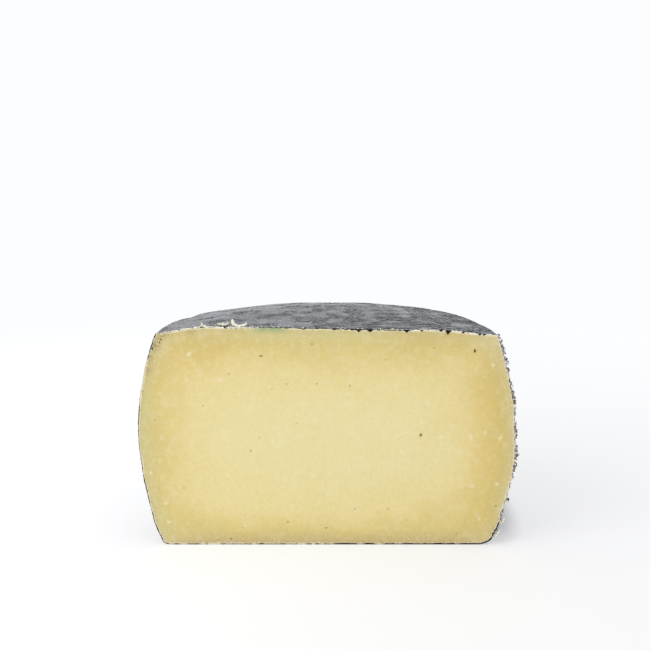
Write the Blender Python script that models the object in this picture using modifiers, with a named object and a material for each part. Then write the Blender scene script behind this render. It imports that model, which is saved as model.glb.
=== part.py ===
"""Half a wheel of pecorino with a black coated rind, resting on its flat base.

Metres, +Z up. The origin is the bottom centre of the half wheel's box. The wheel was cut
straight through its axis, and the cut face looks along -Y. The rind bellies out, the top
falls away in a low shoulder, and the knife left torn rind and shavings on the cut's edge.
"""

import math
import random

import bmesh
import bpy
from mathutils import Matrix, Vector, noise

# The wheel's turned form
BELLY_RADIUS = 0.100
BELLY_HEIGHT = 0.057
WHEEL_HEIGHT = 0.1192
LOWER_ARC_RADIUS = 0.130
UPPER_ARC_RADIUS = 0.165
SHOULDER_START = 0.060
SHOULDER_DROP = 0.0026
TOP_EDGE_ROUND = 0.0024
FOOT_ROUND_UP = 0.0050
FOOT_ROUND_IN = 0.0055

# The wheel's axis stands in the cut plane, half a radius in front of the origin, and a
# little to -X of it, because the torn rind stands out further on the +X side.
CUT_Y = -BELLY_RADIUS / 2
AXIS_X = -0.0011

# How finely the turned form is divided
HALF_TURN_STEPS = 68
TOP_RINGS = 7
SHOULDER_RINGS = 5
CORNER_RINGS = 4
SIDE_RINGS = 15
BASE_RINGS = 5

# Hand-made unevenness: the top falls towards +X along the cut and is twisted, level again
# at the back, with a lower shoulder on the -X side. Each press mark is a broad hollow
# (depth above 0) or swelling, given by azimuth in degrees, height, depth and spread.
TOP_TWIST = 0.22
SHOULDER_LEAN = 0.0008
TOP_FALL_PER_METRE = 0.0165
PRESS_MARKS = (
    (180, 0.036, 0.0009, 0.026),
    (0, 0.044, -0.0004, 0.014),
    (150, 0.117, 0.0015, 0.006),
    (118, 0.062, 0.0012, 0.026),
    (92, 0.031, 0.0009, 0.020),
    (64, 0.085, 0.0011, 0.024),
    (34, 0.050, -0.0008, 0.022),
)
RIND_WAVE = 0.0005
RIND_WAVE_SCALE = 38.0

# Torn rind on the cut's +X side: the height of its middle, its length along the edge, its
# half thickness, and how far its middle stands out from the edge
TORN_RIND = (
    (0.1146, 0.0022, 0.0007, 0.0006),
    (0.1118, 0.0028, 0.0008, 0.0005),
    (0.1072, 0.0032, 0.0009, 0.0006),
    (0.1020, 0.0034, 0.0010, 0.0007),
    (0.0972, 0.0014, 0.0006, 0.0006),
    (0.0862, 0.0104, 0.0007, 0.0004),
    (0.0792, 0.0020, 0.0009, 0.0007),
    (0.0748, 0.0044, 0.0006, 0.0004),
    (0.0680, 0.0014, 0.0006, 0.0003),
    (0.0648, 0.0026, 0.0009, 0.0006),
    (0.0610, 0.0024, 0.0008, 0.0006),
    (0.0553, 0.0020, 0.0008, 0.0008),
    (0.0522, 0.0028, 0.0009, 0.0010),
    (0.0487, 0.0028, 0.0010, 0.0007),
    (0.0450, 0.0022, 0.0009, 0.0006),
    (0.0424, 0.0020, 0.0008, 0.0005),
    (0.0388, 0.0016, 0.0006, 0.0003),
    (0.0266, 0.0026, 0.0010, 0.0008),
    (0.0190, 0.0018, 0.0006, 0.0003),
    (0.0155, 0.0050, 0.0006, 0.0003),
    (0.0072, 0.0040, 0.0007, 0.0004),
)

# Small crumbs along the rest of the cut's edge: the stretch of the outline, how many, the
# smallest and largest radius, and what they are made of. A stretch runs from 0 at the middle
# of the base through 0.5 at the middle of the top, by way of +X.
CRUMB_ZONES = (
    (0.16, 0.37, 18, 0.0004, 0.0008, "rind"),
    (0.37, 0.63, 42, 0.0004, 0.0010, "paste"),
    (0.63, 0.83, 8, 0.0004, 0.0007, "rind"),
    (0.84, 0.99, 7, 0.0004, 0.0006, "rind"),
    (0.01, 0.16, 8, 0.0004, 0.0006, "rind"),
)
CRUMB_SINK = 0.35
CRUMB_REACH = 0.6
CRUMB_CLUMPING = 1.1
CRUMB_STRETCH = 1.8
CRUMB_SKEW = 0.45
CRUMB_FLATNESS = 0.8
CRUMB_ROUGHNESS = 0.45
CRUMB_ROUGHNESS_SCALE = 2.6
CRUMB_SEED = 7

# Curled shavings on the top's front edge: where along X from the wheel's axis, how far
# behind the cut, half the span of the curl, the rise of its -X and +X ends, its thickness
SHAVINGS = (
    (-0.0452, 0.0010, 0.0038, 0.0048, 0.0028, 0.00095),
    (-0.0538, 0.0040, 0.0034, 0.0012, 0.0020, 0.00080),
    (-0.0634, 0.0006, 0.0012, 0.0026, 0.0006, 0.00055),
)
SHAVING_POINTS = 7
SHAVING_LEAN = 24.0
SHAVING_BEND = 0.3
SHAVING_TAPER = 0.30

# Small eyes in the cut face: X from the wheel's axis, height and radius
EYES = (
    (0.0499, 0.0616, 0.0010),
    (0.0771, 0.1072, 0.0008),
    (-0.0340, 0.1045, 0.0007),
    (-0.0399, 0.0528, 0.0006),
    (0.0330, 0.0202, 0.0006),
    (-0.0206, 0.0128, 0.0007),
)
EYE_DEPTH_SHARE = 1.3
EYE_HEIGHT_SHARE = 1.2

PASTE_COLOUR = (0.80, 0.71, 0.38, 1.0)
RIND_COLOUR = (0.012, 0.012, 0.014, 1.0)
CUT_TOLERANCE = 0.00002


def material(name, colour, roughness):
    made = bpy.data.materials.new(name)
    made.use_nodes = True
    shader = made.node_tree.nodes["Principled BSDF"]
    shader.inputs["Base Color"].default_value = colour
    shader.inputs["Roughness"].default_value = roughness
    shader.inputs["Metallic"].default_value = 0.0
    made.diffuse_color = colour
    return made


def collection(name):
    made = bpy.data.collections.new(name)
    bpy.context.scene.collection.children.link(made)
    return made


def smoothstep(low, high, value):
    t = min(max((value - low) / (high - low), 0.0), 1.0)
    return t * t * (3.0 - 2.0 * t)


def side_radius(height):
    """The wheel's radius at a height: two arcs that meet, upright, at the belly."""
    arc = LOWER_ARC_RADIUS if height < BELLY_HEIGHT else UPPER_ARC_RADIUS
    rise = height - BELLY_HEIGHT
    return BELLY_RADIUS - (arc - math.sqrt(arc * arc - rise * rise))


def top_height(radius):
    """The height of the top at a radius, level in the middle with a low shoulder outside."""
    rim = side_radius(WHEEL_HEIGHT - SHOULDER_DROP)
    return WHEEL_HEIGHT - SHOULDER_DROP * smoothstep(SHOULDER_START, rim, radius)


def corner(start, tip, end, rings):
    """Points on the curve that rounds a corner, as (radius, height) pairs."""
    points = []
    for i in range(rings + 1):
        t = i / rings
        weights = ((1 - t) ** 2, 2 * t * (1 - t), t * t)
        points.append(
            tuple(sum(w * p[k] for w, p in zip(weights, (start, tip, end))) for k in (0, 1))
        )
    return points


def wheel_profile():
    """The wheel's outline from the middle of the top, down the side, to the middle of the base."""
    rim_height = WHEEL_HEIGHT - SHOULDER_DROP
    rim = side_radius(rim_height)
    flat_end = rim - TOP_EDGE_ROUND
    side_top = rim_height - TOP_EDGE_ROUND
    top = [(SHOULDER_START * i / TOP_RINGS, WHEEL_HEIGHT) for i in range(TOP_RINGS)]
    shoulder = []
    for i in range(SHOULDER_RINGS):
        radius = SHOULDER_START + (flat_end - SHOULDER_START) * i / SHOULDER_RINGS
        shoulder.append((radius, top_height(radius)))
    top_corner = corner(
        (flat_end, top_height(flat_end)),
        (rim, rim_height),
        (side_radius(side_top), side_top),
        CORNER_RINGS,
    )
    side = []
    for i in range(1, SIDE_RINGS):
        height = side_top + (FOOT_ROUND_UP - side_top) * i / SIDE_RINGS
        side.append((side_radius(height), height))
    foot = side_radius(0.0)
    foot_corner = corner(
        (side_radius(FOOT_ROUND_UP), FOOT_ROUND_UP),
        (foot, 0.0),
        (foot - FOOT_ROUND_IN, 0.0),
        CORNER_RINGS,
    )
    base = []
    for i in range(1, BASE_RINGS + 1):
        base.append(((foot - FOOT_ROUND_IN) * (1 - i / BASE_RINGS), 0.0))
    return top + shoulder + top_corner + side + foot_corner + base


def uneven(radius, azimuth, height):
    """A point of the true turned form, moved as the hand-made wheel departs from it."""
    lift = smoothstep(0.0, FOOT_ROUND_UP, height)
    outward = 0.0
    for mark_azimuth, mark_height, depth, spread in PRESS_MARKS:
        across = math.radians(mark_azimuth) - azimuth
        away = math.hypot(across * BELLY_RADIUS, height - mark_height)
        outward -= depth * math.exp(-((away / spread) ** 2))
    direction = Vector((math.cos(azimuth), math.sin(azimuth), 0.0))
    place = direction * radius + Vector((0.0, 0.0, height))
    outward += RIND_WAVE * noise.noise(place * RIND_WAVE_SCALE)
    share = smoothstep(0.0, side_radius(0.0), radius)
    point = direction * (radius + outward * lift * share)
    rise = RIND_WAVE * noise.noise(place * RIND_WAVE_SCALE + Vector((9.0, 4.0, 2.0)))
    rise += (TOP_TWIST * point.y - TOP_FALL_PER_METRE) * point.x
    rise += SHOULDER_LEAN * math.cos(azimuth) * smoothstep(SHOULDER_START, BELLY_RADIUS, radius)
    point.z = height + rise * smoothstep(BELLY_HEIGHT, WHEEL_HEIGHT, height)
    return point + Vector((AXIS_X, CUT_Y, 0.0))


def turned_half(name, parts):
    """The profile swept through half a turn by a Screw modifier, taken as a plain mesh."""
    mesh = bpy.data.meshes.new(name)
    profile = wheel_profile()
    mesh.from_pydata(
        [(radius, 0.0, height) for radius, height in profile],
        [(i, i + 1) for i in range(len(profile) - 1)],
        [],
    )
    obj = bpy.data.objects.new(name, mesh)
    parts.objects.link(obj)
    screw = obj.modifiers.new("half_turn", "SCREW")
    screw.axis = "Z"
    screw.angle = math.pi
    screw.steps = screw.render_steps = HALF_TURN_STEPS
    screw.use_merge_vertices = True
    screw.merge_threshold = 0.00001
    graph = bpy.context.evaluated_depsgraph_get()
    obj.data = bpy.data.meshes.new_from_object(obj.evaluated_get(graph))
    obj.modifiers.clear()
    return obj


def close_and_shape(obj):
    """Closes the open cut with one face and gives every point the wheel's unevenness."""
    shape = bmesh.new()
    shape.from_mesh(obj.data)
    bmesh.ops.remove_doubles(shape, verts=shape.verts, dist=0.00001)
    bmesh.ops.holes_fill(shape, edges=[e for e in shape.edges if e.is_boundary])
    for vertex in shape.verts:
        radius = math.hypot(vertex.co.x, vertex.co.y)
        azimuth = math.atan2(max(vertex.co.y, 0.0), vertex.co.x)
        vertex.co = uneven(radius, azimuth, vertex.co.z)
        if vertex.co.y < CUT_Y + CUT_TOLERANCE:
            vertex.co.y = CUT_Y
    bmesh.ops.recalc_face_normals(shape, faces=shape.faces)
    shape.to_mesh(obj.data)
    shape.free()


def cut_outline():
    """The cut's outline in the cut plane, from the middle of the base by way of +X and the top."""
    profile = wheel_profile()
    right = [uneven(radius, 0.0, height) for radius, height in reversed(profile)]
    left = [uneven(radius, math.pi, height) for radius, height in profile]
    return right + left[1:]


def facing(start, end):
    """The direction out of the cheese for a stretch of the outline."""
    run = (end - start).normalized()
    return Vector((run.z, 0.0, -run.x))


def along(outline, share):
    """The point at a share of the outline's length, and the direction out of the cheese there."""
    lengths = [(b - a).length for a, b in zip(outline, outline[1:])]
    left_to_go = share * sum(lengths)
    for (a, b), length in zip(zip(outline, outline[1:]), lengths):
        if left_to_go <= length:
            return a.lerp(b, left_to_go / length), facing(a, b)
        left_to_go -= length
    return outline[-1], Vector((0.0, 0.0, -1.0))


def at_height(outline, height):
    """The point on the +X side of the outline at a height, and the direction out of the cheese."""
    for a, b in zip(outline, outline[1:]):
        if a.z <= height < b.z:
            return a.lerp(b, (height - a.z) / (b.z - a.z)), facing(a, b)
    return outline[0], Vector((0.0, 0.0, -1.0))


def torn_bits():
    """Every torn bit as its centre, half length, half thickness, lie and stuff."""
    chance = random.Random(CRUMB_SEED)
    outline = cut_outline()
    bits = []
    for height, length, thickness, stand_out in TORN_RIND:
        point, outward = at_height(outline, height)
        lie = math.atan2(-outward.x, -outward.z) + chance.gauss(0.0, CRUMB_SKEW / 2)
        centre = point + outward * stand_out
        bits.append((centre, length / 2 + thickness, thickness, lie, "rind"))
    for start, end, count, smallest, largest, stuff in CRUMB_ZONES:
        for i in range(count):
            step = i + chance.uniform(0.5 - CRUMB_CLUMPING, 0.5 + CRUMB_CLUMPING)
            share = min(max(start + (end - start) * step / count, start), end)
            radius = smallest + (largest - smallest) * chance.random() ** 2
            point, outward = along(outline, share)
            lie = math.atan2(-outward.x, -outward.z) + chance.gauss(0.0, CRUMB_SKEW)
            length = radius * (1.0 + CRUMB_STRETCH * chance.random() ** 2)
            centre = point + outward * radius * chance.uniform(-0.1, CRUMB_REACH)
            bits.append((centre, length, radius, lie, stuff))
    for centre, length, radius, lie, stuff in bits:
        half_height = length * abs(math.sin(lie)) + radius * abs(math.cos(lie))
        centre.y += radius * CRUMB_SINK
        centre.z = max(centre.z, half_height * (1.0 + CRUMB_ROUGHNESS / 2))
    return bits


def add_torn_bits(looks, pieces):
    """Each torn bit as a small icosphere, drawn out along the cut's edge and made uneven."""
    for number, (centre, length, radius, lie, stuff) in enumerate(torn_bits()):
        shape = bmesh.new()
        bmesh.ops.create_icosphere(shape, subdivisions=1, radius=1.0)
        for vertex in shape.verts:
            place = vertex.co * CRUMB_ROUGHNESS_SCALE + Vector((number, 0.0, 0.0))
            vertex.co *= 1.0 + CRUMB_ROUGHNESS * noise.noise(place)
        stretch = Matrix.Diagonal((length, radius * CRUMB_FLATNESS, radius, 1.0))
        turn = Matrix.Rotation(lie, 4, "Y")
        bmesh.ops.transform(shape, matrix=turn @ stretch, verts=shape.verts)
        mesh = bpy.data.meshes.new(f"torn_bit_{number}")
        shape.to_mesh(mesh)
        shape.free()
        mesh.materials.append(looks[stuff])
        obj = bpy.data.objects.new(mesh.name, mesh)
        obj.location = centre
        pieces.objects.link(obj)


def shaving_path(half_span, left_rise, right_rise):
    """Points along a curled shaving, its middle at the origin and both ends lifted."""
    points = []
    for i in range(SHAVING_POINTS):
        t = 2.0 * i / (SHAVING_POINTS - 1) - 1.0
        rise = left_rise if t < 0 else right_rise
        across = half_span * math.sin(t * math.pi / 2)
        points.append(Vector((across, SHAVING_BEND * rise * abs(t), rise * t * t)))
    return points


def add_shavings(look, pieces):
    """Curled shavings: bent rods that lie on the top by its front edge."""
    for number, (x, behind, half_span, left_rise, right_rise, thickness) in enumerate(SHAVINGS):
        base = uneven(abs(x), math.pi, top_height(abs(x)))
        curve = bpy.data.curves.new(f"shaving_{number}", "CURVE")
        curve.dimensions = "3D"
        curve.bevel_depth = thickness
        curve.bevel_resolution = 1
        curve.use_fill_caps = True
        spline = curve.splines.new("POLY")
        spline.points.add(SHAVING_POINTS - 1)
        path = shaving_path(half_span, left_rise, right_rise)
        for i, (point, place) in enumerate(zip(spline.points, path)):
            point.co = (*place, 1.0)
            point.radius = 1.0 - SHAVING_TAPER * abs(2.0 * i / (SHAVING_POINTS - 1) - 1.0)
        rod = bpy.data.objects.new(curve.name, curve)
        rod.location = base + Vector((0.0, behind, thickness * 0.4))
        rod.rotation_euler = (math.radians(-SHAVING_LEAN), 0.0, 0.0)
        bpy.context.scene.collection.objects.link(rod)
        bpy.context.view_layer.update()
        graph = bpy.context.evaluated_depsgraph_get()
        mesh = bpy.data.meshes.new_from_object(rod.evaluated_get(graph))
        welded = bmesh.new()
        welded.from_mesh(mesh)
        bmesh.ops.remove_doubles(welded, verts=welded.verts, dist=0.000001)
        welded.to_mesh(mesh)
        welded.free()
        mesh.materials.clear()
        mesh.materials.append(look)
        solid = bpy.data.objects.new(curve.name + "_solid", mesh)
        solid.matrix_world = rod.matrix_world
        bpy.data.objects.remove(rod)
        pieces.objects.link(solid)


def add_eyes(cutters):
    """Small round cutters that leave the cut face's eyes."""
    for number, (x, height, radius) in enumerate(EYES):
        shape = bmesh.new()
        bmesh.ops.create_icosphere(shape, subdivisions=1, radius=radius)
        stretch = Matrix.Diagonal((1.0, EYE_DEPTH_SHARE, EYE_HEIGHT_SHARE, 1.0))
        bmesh.ops.transform(shape, matrix=stretch, verts=shape.verts)
        mesh = bpy.data.meshes.new(f"eye_{number}")
        shape.to_mesh(mesh)
        shape.free()
        obj = bpy.data.objects.new(mesh.name, mesh)
        obj.location = (AXIS_X + x, CUT_Y, height)
        obj.hide_render = True
        obj.display_type = "WIRE"
        cutters.objects.link(obj)


def boolean(obj, others, operation):
    """One Boolean of a whole collection, applied, with the collection's objects then removed."""
    bpy.context.view_layer.update()
    modifier = obj.modifiers.new(operation.lower(), "BOOLEAN")
    modifier.operand_type = "COLLECTION"
    modifier.collection = others
    modifier.operation = operation
    modifier.solver = "EXACT"
    modifier.material_mode = "TRANSFER"
    graph = bpy.context.evaluated_depsgraph_get()
    obj.data = bpy.data.meshes.new_from_object(obj.evaluated_get(graph))
    obj.modifiers.clear()
    for other in list(others.objects):
        bpy.data.objects.remove(other)
    bpy.data.collections.remove(others)


def main():
    for obj in list(bpy.data.objects):
        bpy.data.objects.remove(obj)
    parts = collection("pecorino_half_wheel")
    looks = {
        "rind": material("rind", RIND_COLOUR, 0.42),
        "paste": material("paste", PASTE_COLOUR, 0.55),
    }

    half = turned_half("half_wheel", parts)
    close_and_shape(half)
    half.data.materials.append(looks["rind"])
    half.data.materials.append(looks["paste"])
    for face in half.data.polygons:
        face.material_index = int(len(face.vertices) > 4)

    eyes = collection("eyes")
    add_eyes(eyes)
    boolean(half, eyes, "DIFFERENCE")

    torn_edge = collection("torn_edge")
    add_torn_bits(looks, torn_edge)
    add_shavings(looks["paste"], torn_edge)
    boolean(half, torn_edge, "UNION")

    half.data.shade_smooth()
    half.data.set_sharp_from_angle(angle=math.radians(35.0))


main()
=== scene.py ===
# %% [markdown]
# # Half a wheel of pecorino under a black coat
# This lesson dresses one half of a small wheel of hard sheep's milk cheese. The wheel was cut
# straight through its middle, so the picture shows the pale cut face with the thin black coat
# round it, and a low slice of the coated top. The solid model of the half wheel is finished
# already. It gives the true form and size, but it has few faces and plain colours, so every
# surface is made again here, in metres and in the solid's own place, with its fine relief.

# %% The solid model and its box
import math
import random

import bmesh
import bpy
import numpy as np
from mathutils import Matrix, Vector, noise


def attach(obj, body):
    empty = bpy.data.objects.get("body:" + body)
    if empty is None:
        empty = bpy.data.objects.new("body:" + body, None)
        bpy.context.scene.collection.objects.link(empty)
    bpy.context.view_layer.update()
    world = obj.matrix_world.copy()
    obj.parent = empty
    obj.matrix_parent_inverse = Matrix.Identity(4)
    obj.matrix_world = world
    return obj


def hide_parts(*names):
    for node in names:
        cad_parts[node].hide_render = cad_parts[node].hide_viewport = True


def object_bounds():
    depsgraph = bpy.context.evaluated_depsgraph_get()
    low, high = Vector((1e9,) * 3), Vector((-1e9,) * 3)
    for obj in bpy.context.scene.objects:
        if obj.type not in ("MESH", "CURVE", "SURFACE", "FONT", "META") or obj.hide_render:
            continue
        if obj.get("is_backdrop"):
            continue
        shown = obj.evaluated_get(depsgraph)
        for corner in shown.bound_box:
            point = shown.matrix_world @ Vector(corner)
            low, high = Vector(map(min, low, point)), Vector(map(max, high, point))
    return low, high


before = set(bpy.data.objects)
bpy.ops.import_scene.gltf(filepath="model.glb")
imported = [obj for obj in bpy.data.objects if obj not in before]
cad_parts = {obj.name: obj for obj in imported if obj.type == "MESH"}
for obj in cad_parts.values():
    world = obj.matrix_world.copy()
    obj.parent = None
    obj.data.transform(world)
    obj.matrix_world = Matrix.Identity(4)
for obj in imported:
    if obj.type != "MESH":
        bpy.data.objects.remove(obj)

SOLID = "half_wheel"
cad_low, cad_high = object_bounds()
print("The half wheel's solid measures", [round(size, 4) for size in cad_high - cad_low], "m")

# %% [markdown]
# ## The wheel's form
# A wheel of cheese is a turned form: one outline swept round an axis. A hand-made wheel is
# never a true one, so the turned point is then moved: the top falls to one side, the hoop and
# the shelf leave broad press marks, and the whole rind waves a little. The same few sizes and
# the same rule made the solid, so whatever is built from them here lies on the solid.

# %% The wheel's sizes
BELLY_RADIUS = 0.100
BELLY_HEIGHT = 0.057
WHEEL_HEIGHT = 0.1192
LOWER_ARC_RADIUS = 0.130
UPPER_ARC_RADIUS = 0.165
SHOULDER_START = 0.060
SHOULDER_DROP = 0.0026
TOP_EDGE_ROUND = 0.0024
FOOT_ROUND_UP = 0.0050
FOOT_ROUND_IN = 0.0055
CUT_Y = -BELLY_RADIUS / 2
AXIS_X = -0.0011
TOP_TWIST = 0.22
SHOULDER_LEAN = 0.0008
TOP_FALL_PER_METRE = 0.0165
RIND_WAVE = 0.0005
RIND_WAVE_SCALE = 38.0

# Broad press marks: azimuth in degrees, height, depth and spread
PRESS_MARKS = (
    (180, 0.036, 0.0009, 0.026),
    (0, 0.044, -0.0004, 0.014),
    (150, 0.117, 0.0015, 0.006),
    (118, 0.062, 0.0012, 0.026),
    (92, 0.031, 0.0009, 0.020),
    (64, 0.085, 0.0011, 0.024),
    (34, 0.050, -0.0008, 0.022),
)

RIM_HEIGHT = WHEEL_HEIGHT - SHOULDER_DROP


# %% The turned form and its unevenness
def smoothstep(low, high, value):
    """A share from 0 to 1 that rises softly as a value goes from low to high."""
    t = min(max((value - low) / (high - low), 0.0), 1.0)
    return t * t * (3.0 - 2.0 * t)


def side_radius(height):
    """The wheel's radius at a height: two arcs that meet, upright, at the belly."""
    arc = LOWER_ARC_RADIUS if height < BELLY_HEIGHT else UPPER_ARC_RADIUS
    rise = height - BELLY_HEIGHT
    return BELLY_RADIUS - (arc - math.sqrt(arc * arc - rise * rise))


RIM_RADIUS = side_radius(RIM_HEIGHT)
FLAT_END = RIM_RADIUS - TOP_EDGE_ROUND
FOOT_RADIUS = side_radius(0.0)
BASE_RADIUS = FOOT_RADIUS - FOOT_ROUND_IN


def top_height(radius):
    """The height of the top at a radius, level in the middle with a low shoulder outside."""
    return WHEEL_HEIGHT - SHOULDER_DROP * smoothstep(SHOULDER_START, RIM_RADIUS, radius)


def uneven(radius, azimuth, height):
    """A point of the true turned form, moved as the hand-made wheel departs from it."""
    lift = smoothstep(0.0, FOOT_ROUND_UP, height)
    outward = 0.0
    for mark_azimuth, mark_height, depth, spread in PRESS_MARKS:
        across = math.radians(mark_azimuth) - azimuth
        away = math.hypot(across * BELLY_RADIUS, height - mark_height)
        outward -= depth * math.exp(-((away / spread) ** 2))
    direction = Vector((math.cos(azimuth), math.sin(azimuth), 0.0))
    place = direction * radius + Vector((0.0, 0.0, height))
    outward += RIND_WAVE * noise.noise(place * RIND_WAVE_SCALE)
    share = smoothstep(0.0, FOOT_RADIUS, radius)
    point = direction * (radius + outward * lift * share)
    rise = RIND_WAVE * noise.noise(place * RIND_WAVE_SCALE + Vector((9.0, 4.0, 2.0)))
    rise += (TOP_TWIST * point.y - TOP_FALL_PER_METRE) * point.x
    rise += SHOULDER_LEAN * math.cos(azimuth) * smoothstep(SHOULDER_START, BELLY_RADIUS, radius)
    point.z = height + rise * smoothstep(BELLY_HEIGHT, WHEEL_HEIGHT, height)
    return point + Vector((AXIS_X, CUT_Y, 0.0))


print("Rim radius", round(RIM_RADIUS, 4), "m, foot radius", round(FOOT_RADIUS, 4), "m")

# %% [markdown]
# ## The section as a measured path
# The rind is laid out along its section, from the middle of the top over the rim and down to
# the base. A list of points is easy to draw but hard to space evenly, so the section is first
# drawn finely and then read back by distance, as if a tape lay on the cheese. The direction
# out of the cheese comes from two neighbouring readings.

# %% The section, read by distance
PATH_STEP = 0.00015
CORNER_STEPS = 24


def rounded(start, tip, end, steps):
    """Points on the curve that rounds a corner."""
    t = np.arange(steps + 1)[:, None] / steps
    return (1 - t) ** 2 * np.array(start) + 2 * t * (1 - t) * np.array(tip) + t * t * np.array(end)


def fine_section():
    """Radius and height down the section, with the distances where the rounded corners begin."""
    side_top = RIM_HEIGHT - TOP_EDGE_ROUND
    top = [(r, top_height(r)) for r in np.arange(0.0, FLAT_END, PATH_STEP)]
    flat_end = (FLAT_END, top_height(FLAT_END))
    side_start = (side_radius(side_top), side_top)
    rim = rounded(flat_end, (RIM_RADIUS, RIM_HEIGHT), side_start, CORNER_STEPS)[1:]
    side = [(side_radius(h), h) for h in np.arange(side_top, FOOT_ROUND_UP, -PATH_STEP)[1:]]
    foot_top = (side_radius(FOOT_ROUND_UP), FOOT_ROUND_UP)
    foot = rounded(foot_top, (FOOT_RADIUS, 0.0), (BASE_RADIUS, 0.0), CORNER_STEPS)[1:]
    base = [(r, 0.0) for r in np.arange(BASE_RADIUS, 0.0, -PATH_STEP)[1:]]
    points = np.vstack([top, rim, side, foot, base, [(0.0, 0.0)]])
    steps = np.hypot(*np.diff(points, axis=0).T)
    distance = np.concatenate([[0.0], np.cumsum(steps)])
    counts = np.cumsum([len(top), len(rim), len(side), len(foot)])
    return points, distance, [distance[count] for count in counts]


SECTION, TAPE, (RIM_START, SIDE_START, FOOT_START, BASE_START) = fine_section()


def read_at(distance, tape, table):
    """What a table says at distances along a tape, where each of its rows has a distance."""
    return np.stack([np.interp(distance, tape, column) for column in table.T], axis=-1)


def section(distance):
    """Radius, height and the two parts of the outward direction at distances down the section."""
    step = 2 * PATH_STEP
    radius, height = read_at(distance, TAPE, SECTION).T
    ahead = read_at(distance + step, TAPE, SECTION)
    behind = read_at(distance - step, TAPE, SECTION)
    run, fall = (ahead - behind).T
    length = np.hypot(run, fall)
    return radius, height, -fall / length, run / length


print("The section is", round(TAPE[-1], 4), "m long from the middle of the top to the base")

# %% [markdown]
# ## The coat's own relief
# The black coat is a thin skin, brushed on and dried, and it wrinkles like leather: small
# plump cells with narrow creases between them on the top, and long creases that run round the
# side, where the hoop held it. Bump in a material could fake this, but the creases show on the
# outline and in the mesh, so they are pressed into the points. A Voronoi pattern gives cells:
# where the nearest and the second nearest centre are equally far, there is a crease.

# %% Creases in the coat
TOP_CELL = 0.0027
TOP_CREASE_DEPTH = 0.00021
TOP_CREASE_LEAN = 4.2
SIDE_CELL = 0.0034
SIDE_STRETCH = 0.30
SIDE_CREASE_DEPTH = 0.00024
SIDE_COVER = 0.1
CREASE_WIDTH = 0.26
CREASE_BEND = 0.9
CREASE_BEND_CELLS = 2.6
CREASE_CLOUD_CELLS = 3.4
CREASE_CLOUD_EDGES = (-0.35, 0.25)
TOP_SWELL = 0.00013
SIDE_SWELL = 0.00022
SWELL_SIZE = 0.0075
SETTLE = 0.00021
ROUGHEN = 0.00008
ROUGHEN_SIZE = 0.0012
ROUGHEN_FRACTAL = (0.8, 2.1, 2)
SIDE_BELOW_RIM = 0.006
# How much fuller the foot is by the cut on either side, then the heights and the azimuths
# between which this fades
LEFT_FULLER = 0.0007
LEFT_FADE = (0.012, 0.022)
LEFT_BASE_FULLER = 0.0012
LEFT_BASE_FADE = (0.0, 0.004)
LEFT_TURN = (0.80 * math.pi, 0.98 * math.pi)
RIGHT_FULLER = 0.0010
RIGHT_RISE = (0.0, 0.0024)
RIGHT_FADE = (0.0140, 0.0200)
RIGHT_TURN = (0.02 * math.pi, 0.22 * math.pi)
# Blender's noise_vector starts from a seed that follows the clock, so it is set once
NOISE_SEED = 7
noise.seed_set(NOISE_SEED)


def creases(place, cell, cover):
    """How deep in a crease a place is, from 0 on a cell to 1 in the crease."""
    bend = noise.noise_vector(place / (CREASE_BEND_CELLS * cell)) * CREASE_BEND
    bent = place / cell + bend
    nearest, second = noise.voronoi(bent)[0][:2]
    clouds = noise.noise(place / (CREASE_CLOUD_CELLS * cell) + Vector((5.0, 1.0, 7.0))) + cover
    crease = 1.0 - smoothstep(0.0, CREASE_WIDTH, second - nearest)
    return crease * smoothstep(*CREASE_CLOUD_EDGES, clouds)


def coat_relief(place, azimuth, height):
    """How far the coat stands out from the even form at a place, in metres."""
    side = 1.0 - smoothstep(RIM_HEIGHT - SIDE_BELOW_RIM, RIM_HEIGHT, height)
    swell = TOP_SWELL + (SIDE_SWELL - TOP_SWELL) * side
    depth = swell * noise.noise(place / SWELL_SIZE) - SETTLE
    depth += ROUGHEN * noise.fractal(place / ROUGHEN_SIZE, *ROUGHEN_FRACTAL)
    if side < 1.0:
        cover = TOP_CREASE_LEAN * place.x
        depth -= (1.0 - side) * TOP_CREASE_DEPTH * creases(place, TOP_CELL, cover)
    if side > 0.0:
        round_side = Vector((azimuth * BELLY_RADIUS * SIDE_STRETCH, height, 3.0 * SIDE_CELL))
        depth -= side * SIDE_CREASE_DEPTH * creases(round_side, SIDE_CELL, SIDE_COVER)
    return depth * smoothstep(0.0, FOOT_ROUND_UP, height)


def foot_shift(azimuth, height):
    """How much fuller the foot is, in metres, by the cut on the -X and the +X side."""
    left = LEFT_FULLER * (1.0 - smoothstep(*LEFT_FADE, height))
    left += LEFT_BASE_FULLER * (1.0 - smoothstep(*LEFT_BASE_FADE, height))
    left *= smoothstep(*LEFT_TURN, azimuth)
    right = RIGHT_FULLER * smoothstep(*RIGHT_RISE, height)
    right *= 1.0 - smoothstep(*RIGHT_FADE, height)
    right *= 1.0 - smoothstep(*RIGHT_TURN, azimuth)
    return left + right


def coat(radius, azimuth, height, out, up):
    """A point of the finished coat."""
    place = uneven(radius, azimuth, height)
    around = Vector((math.cos(azimuth), math.sin(azimuth), 0.0))
    relief = (around * out + Vector((0.0, 0.0, up))) * coat_relief(place, azimuth, height)
    share = smoothstep(0.0, BASE_RADIUS, radius)
    return place + relief + around * foot_shift(azimuth, height) * share


print("Creases are up to", round(TOP_CREASE_DEPTH * 1000, 2), "mm deep on the top")

# %% [markdown]
# ## Grids and pieces
# Two small helpers make every large surface. One lists the faces of a grid. The other fills
# the space between four edges, which is called a Coons patch: each inner point is a mix of the
# points on the four edges beside it. It suits the cut face, the top and the base, where a
# plain grid would leave steps at the outline and a polar grid would crowd the middle.


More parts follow.
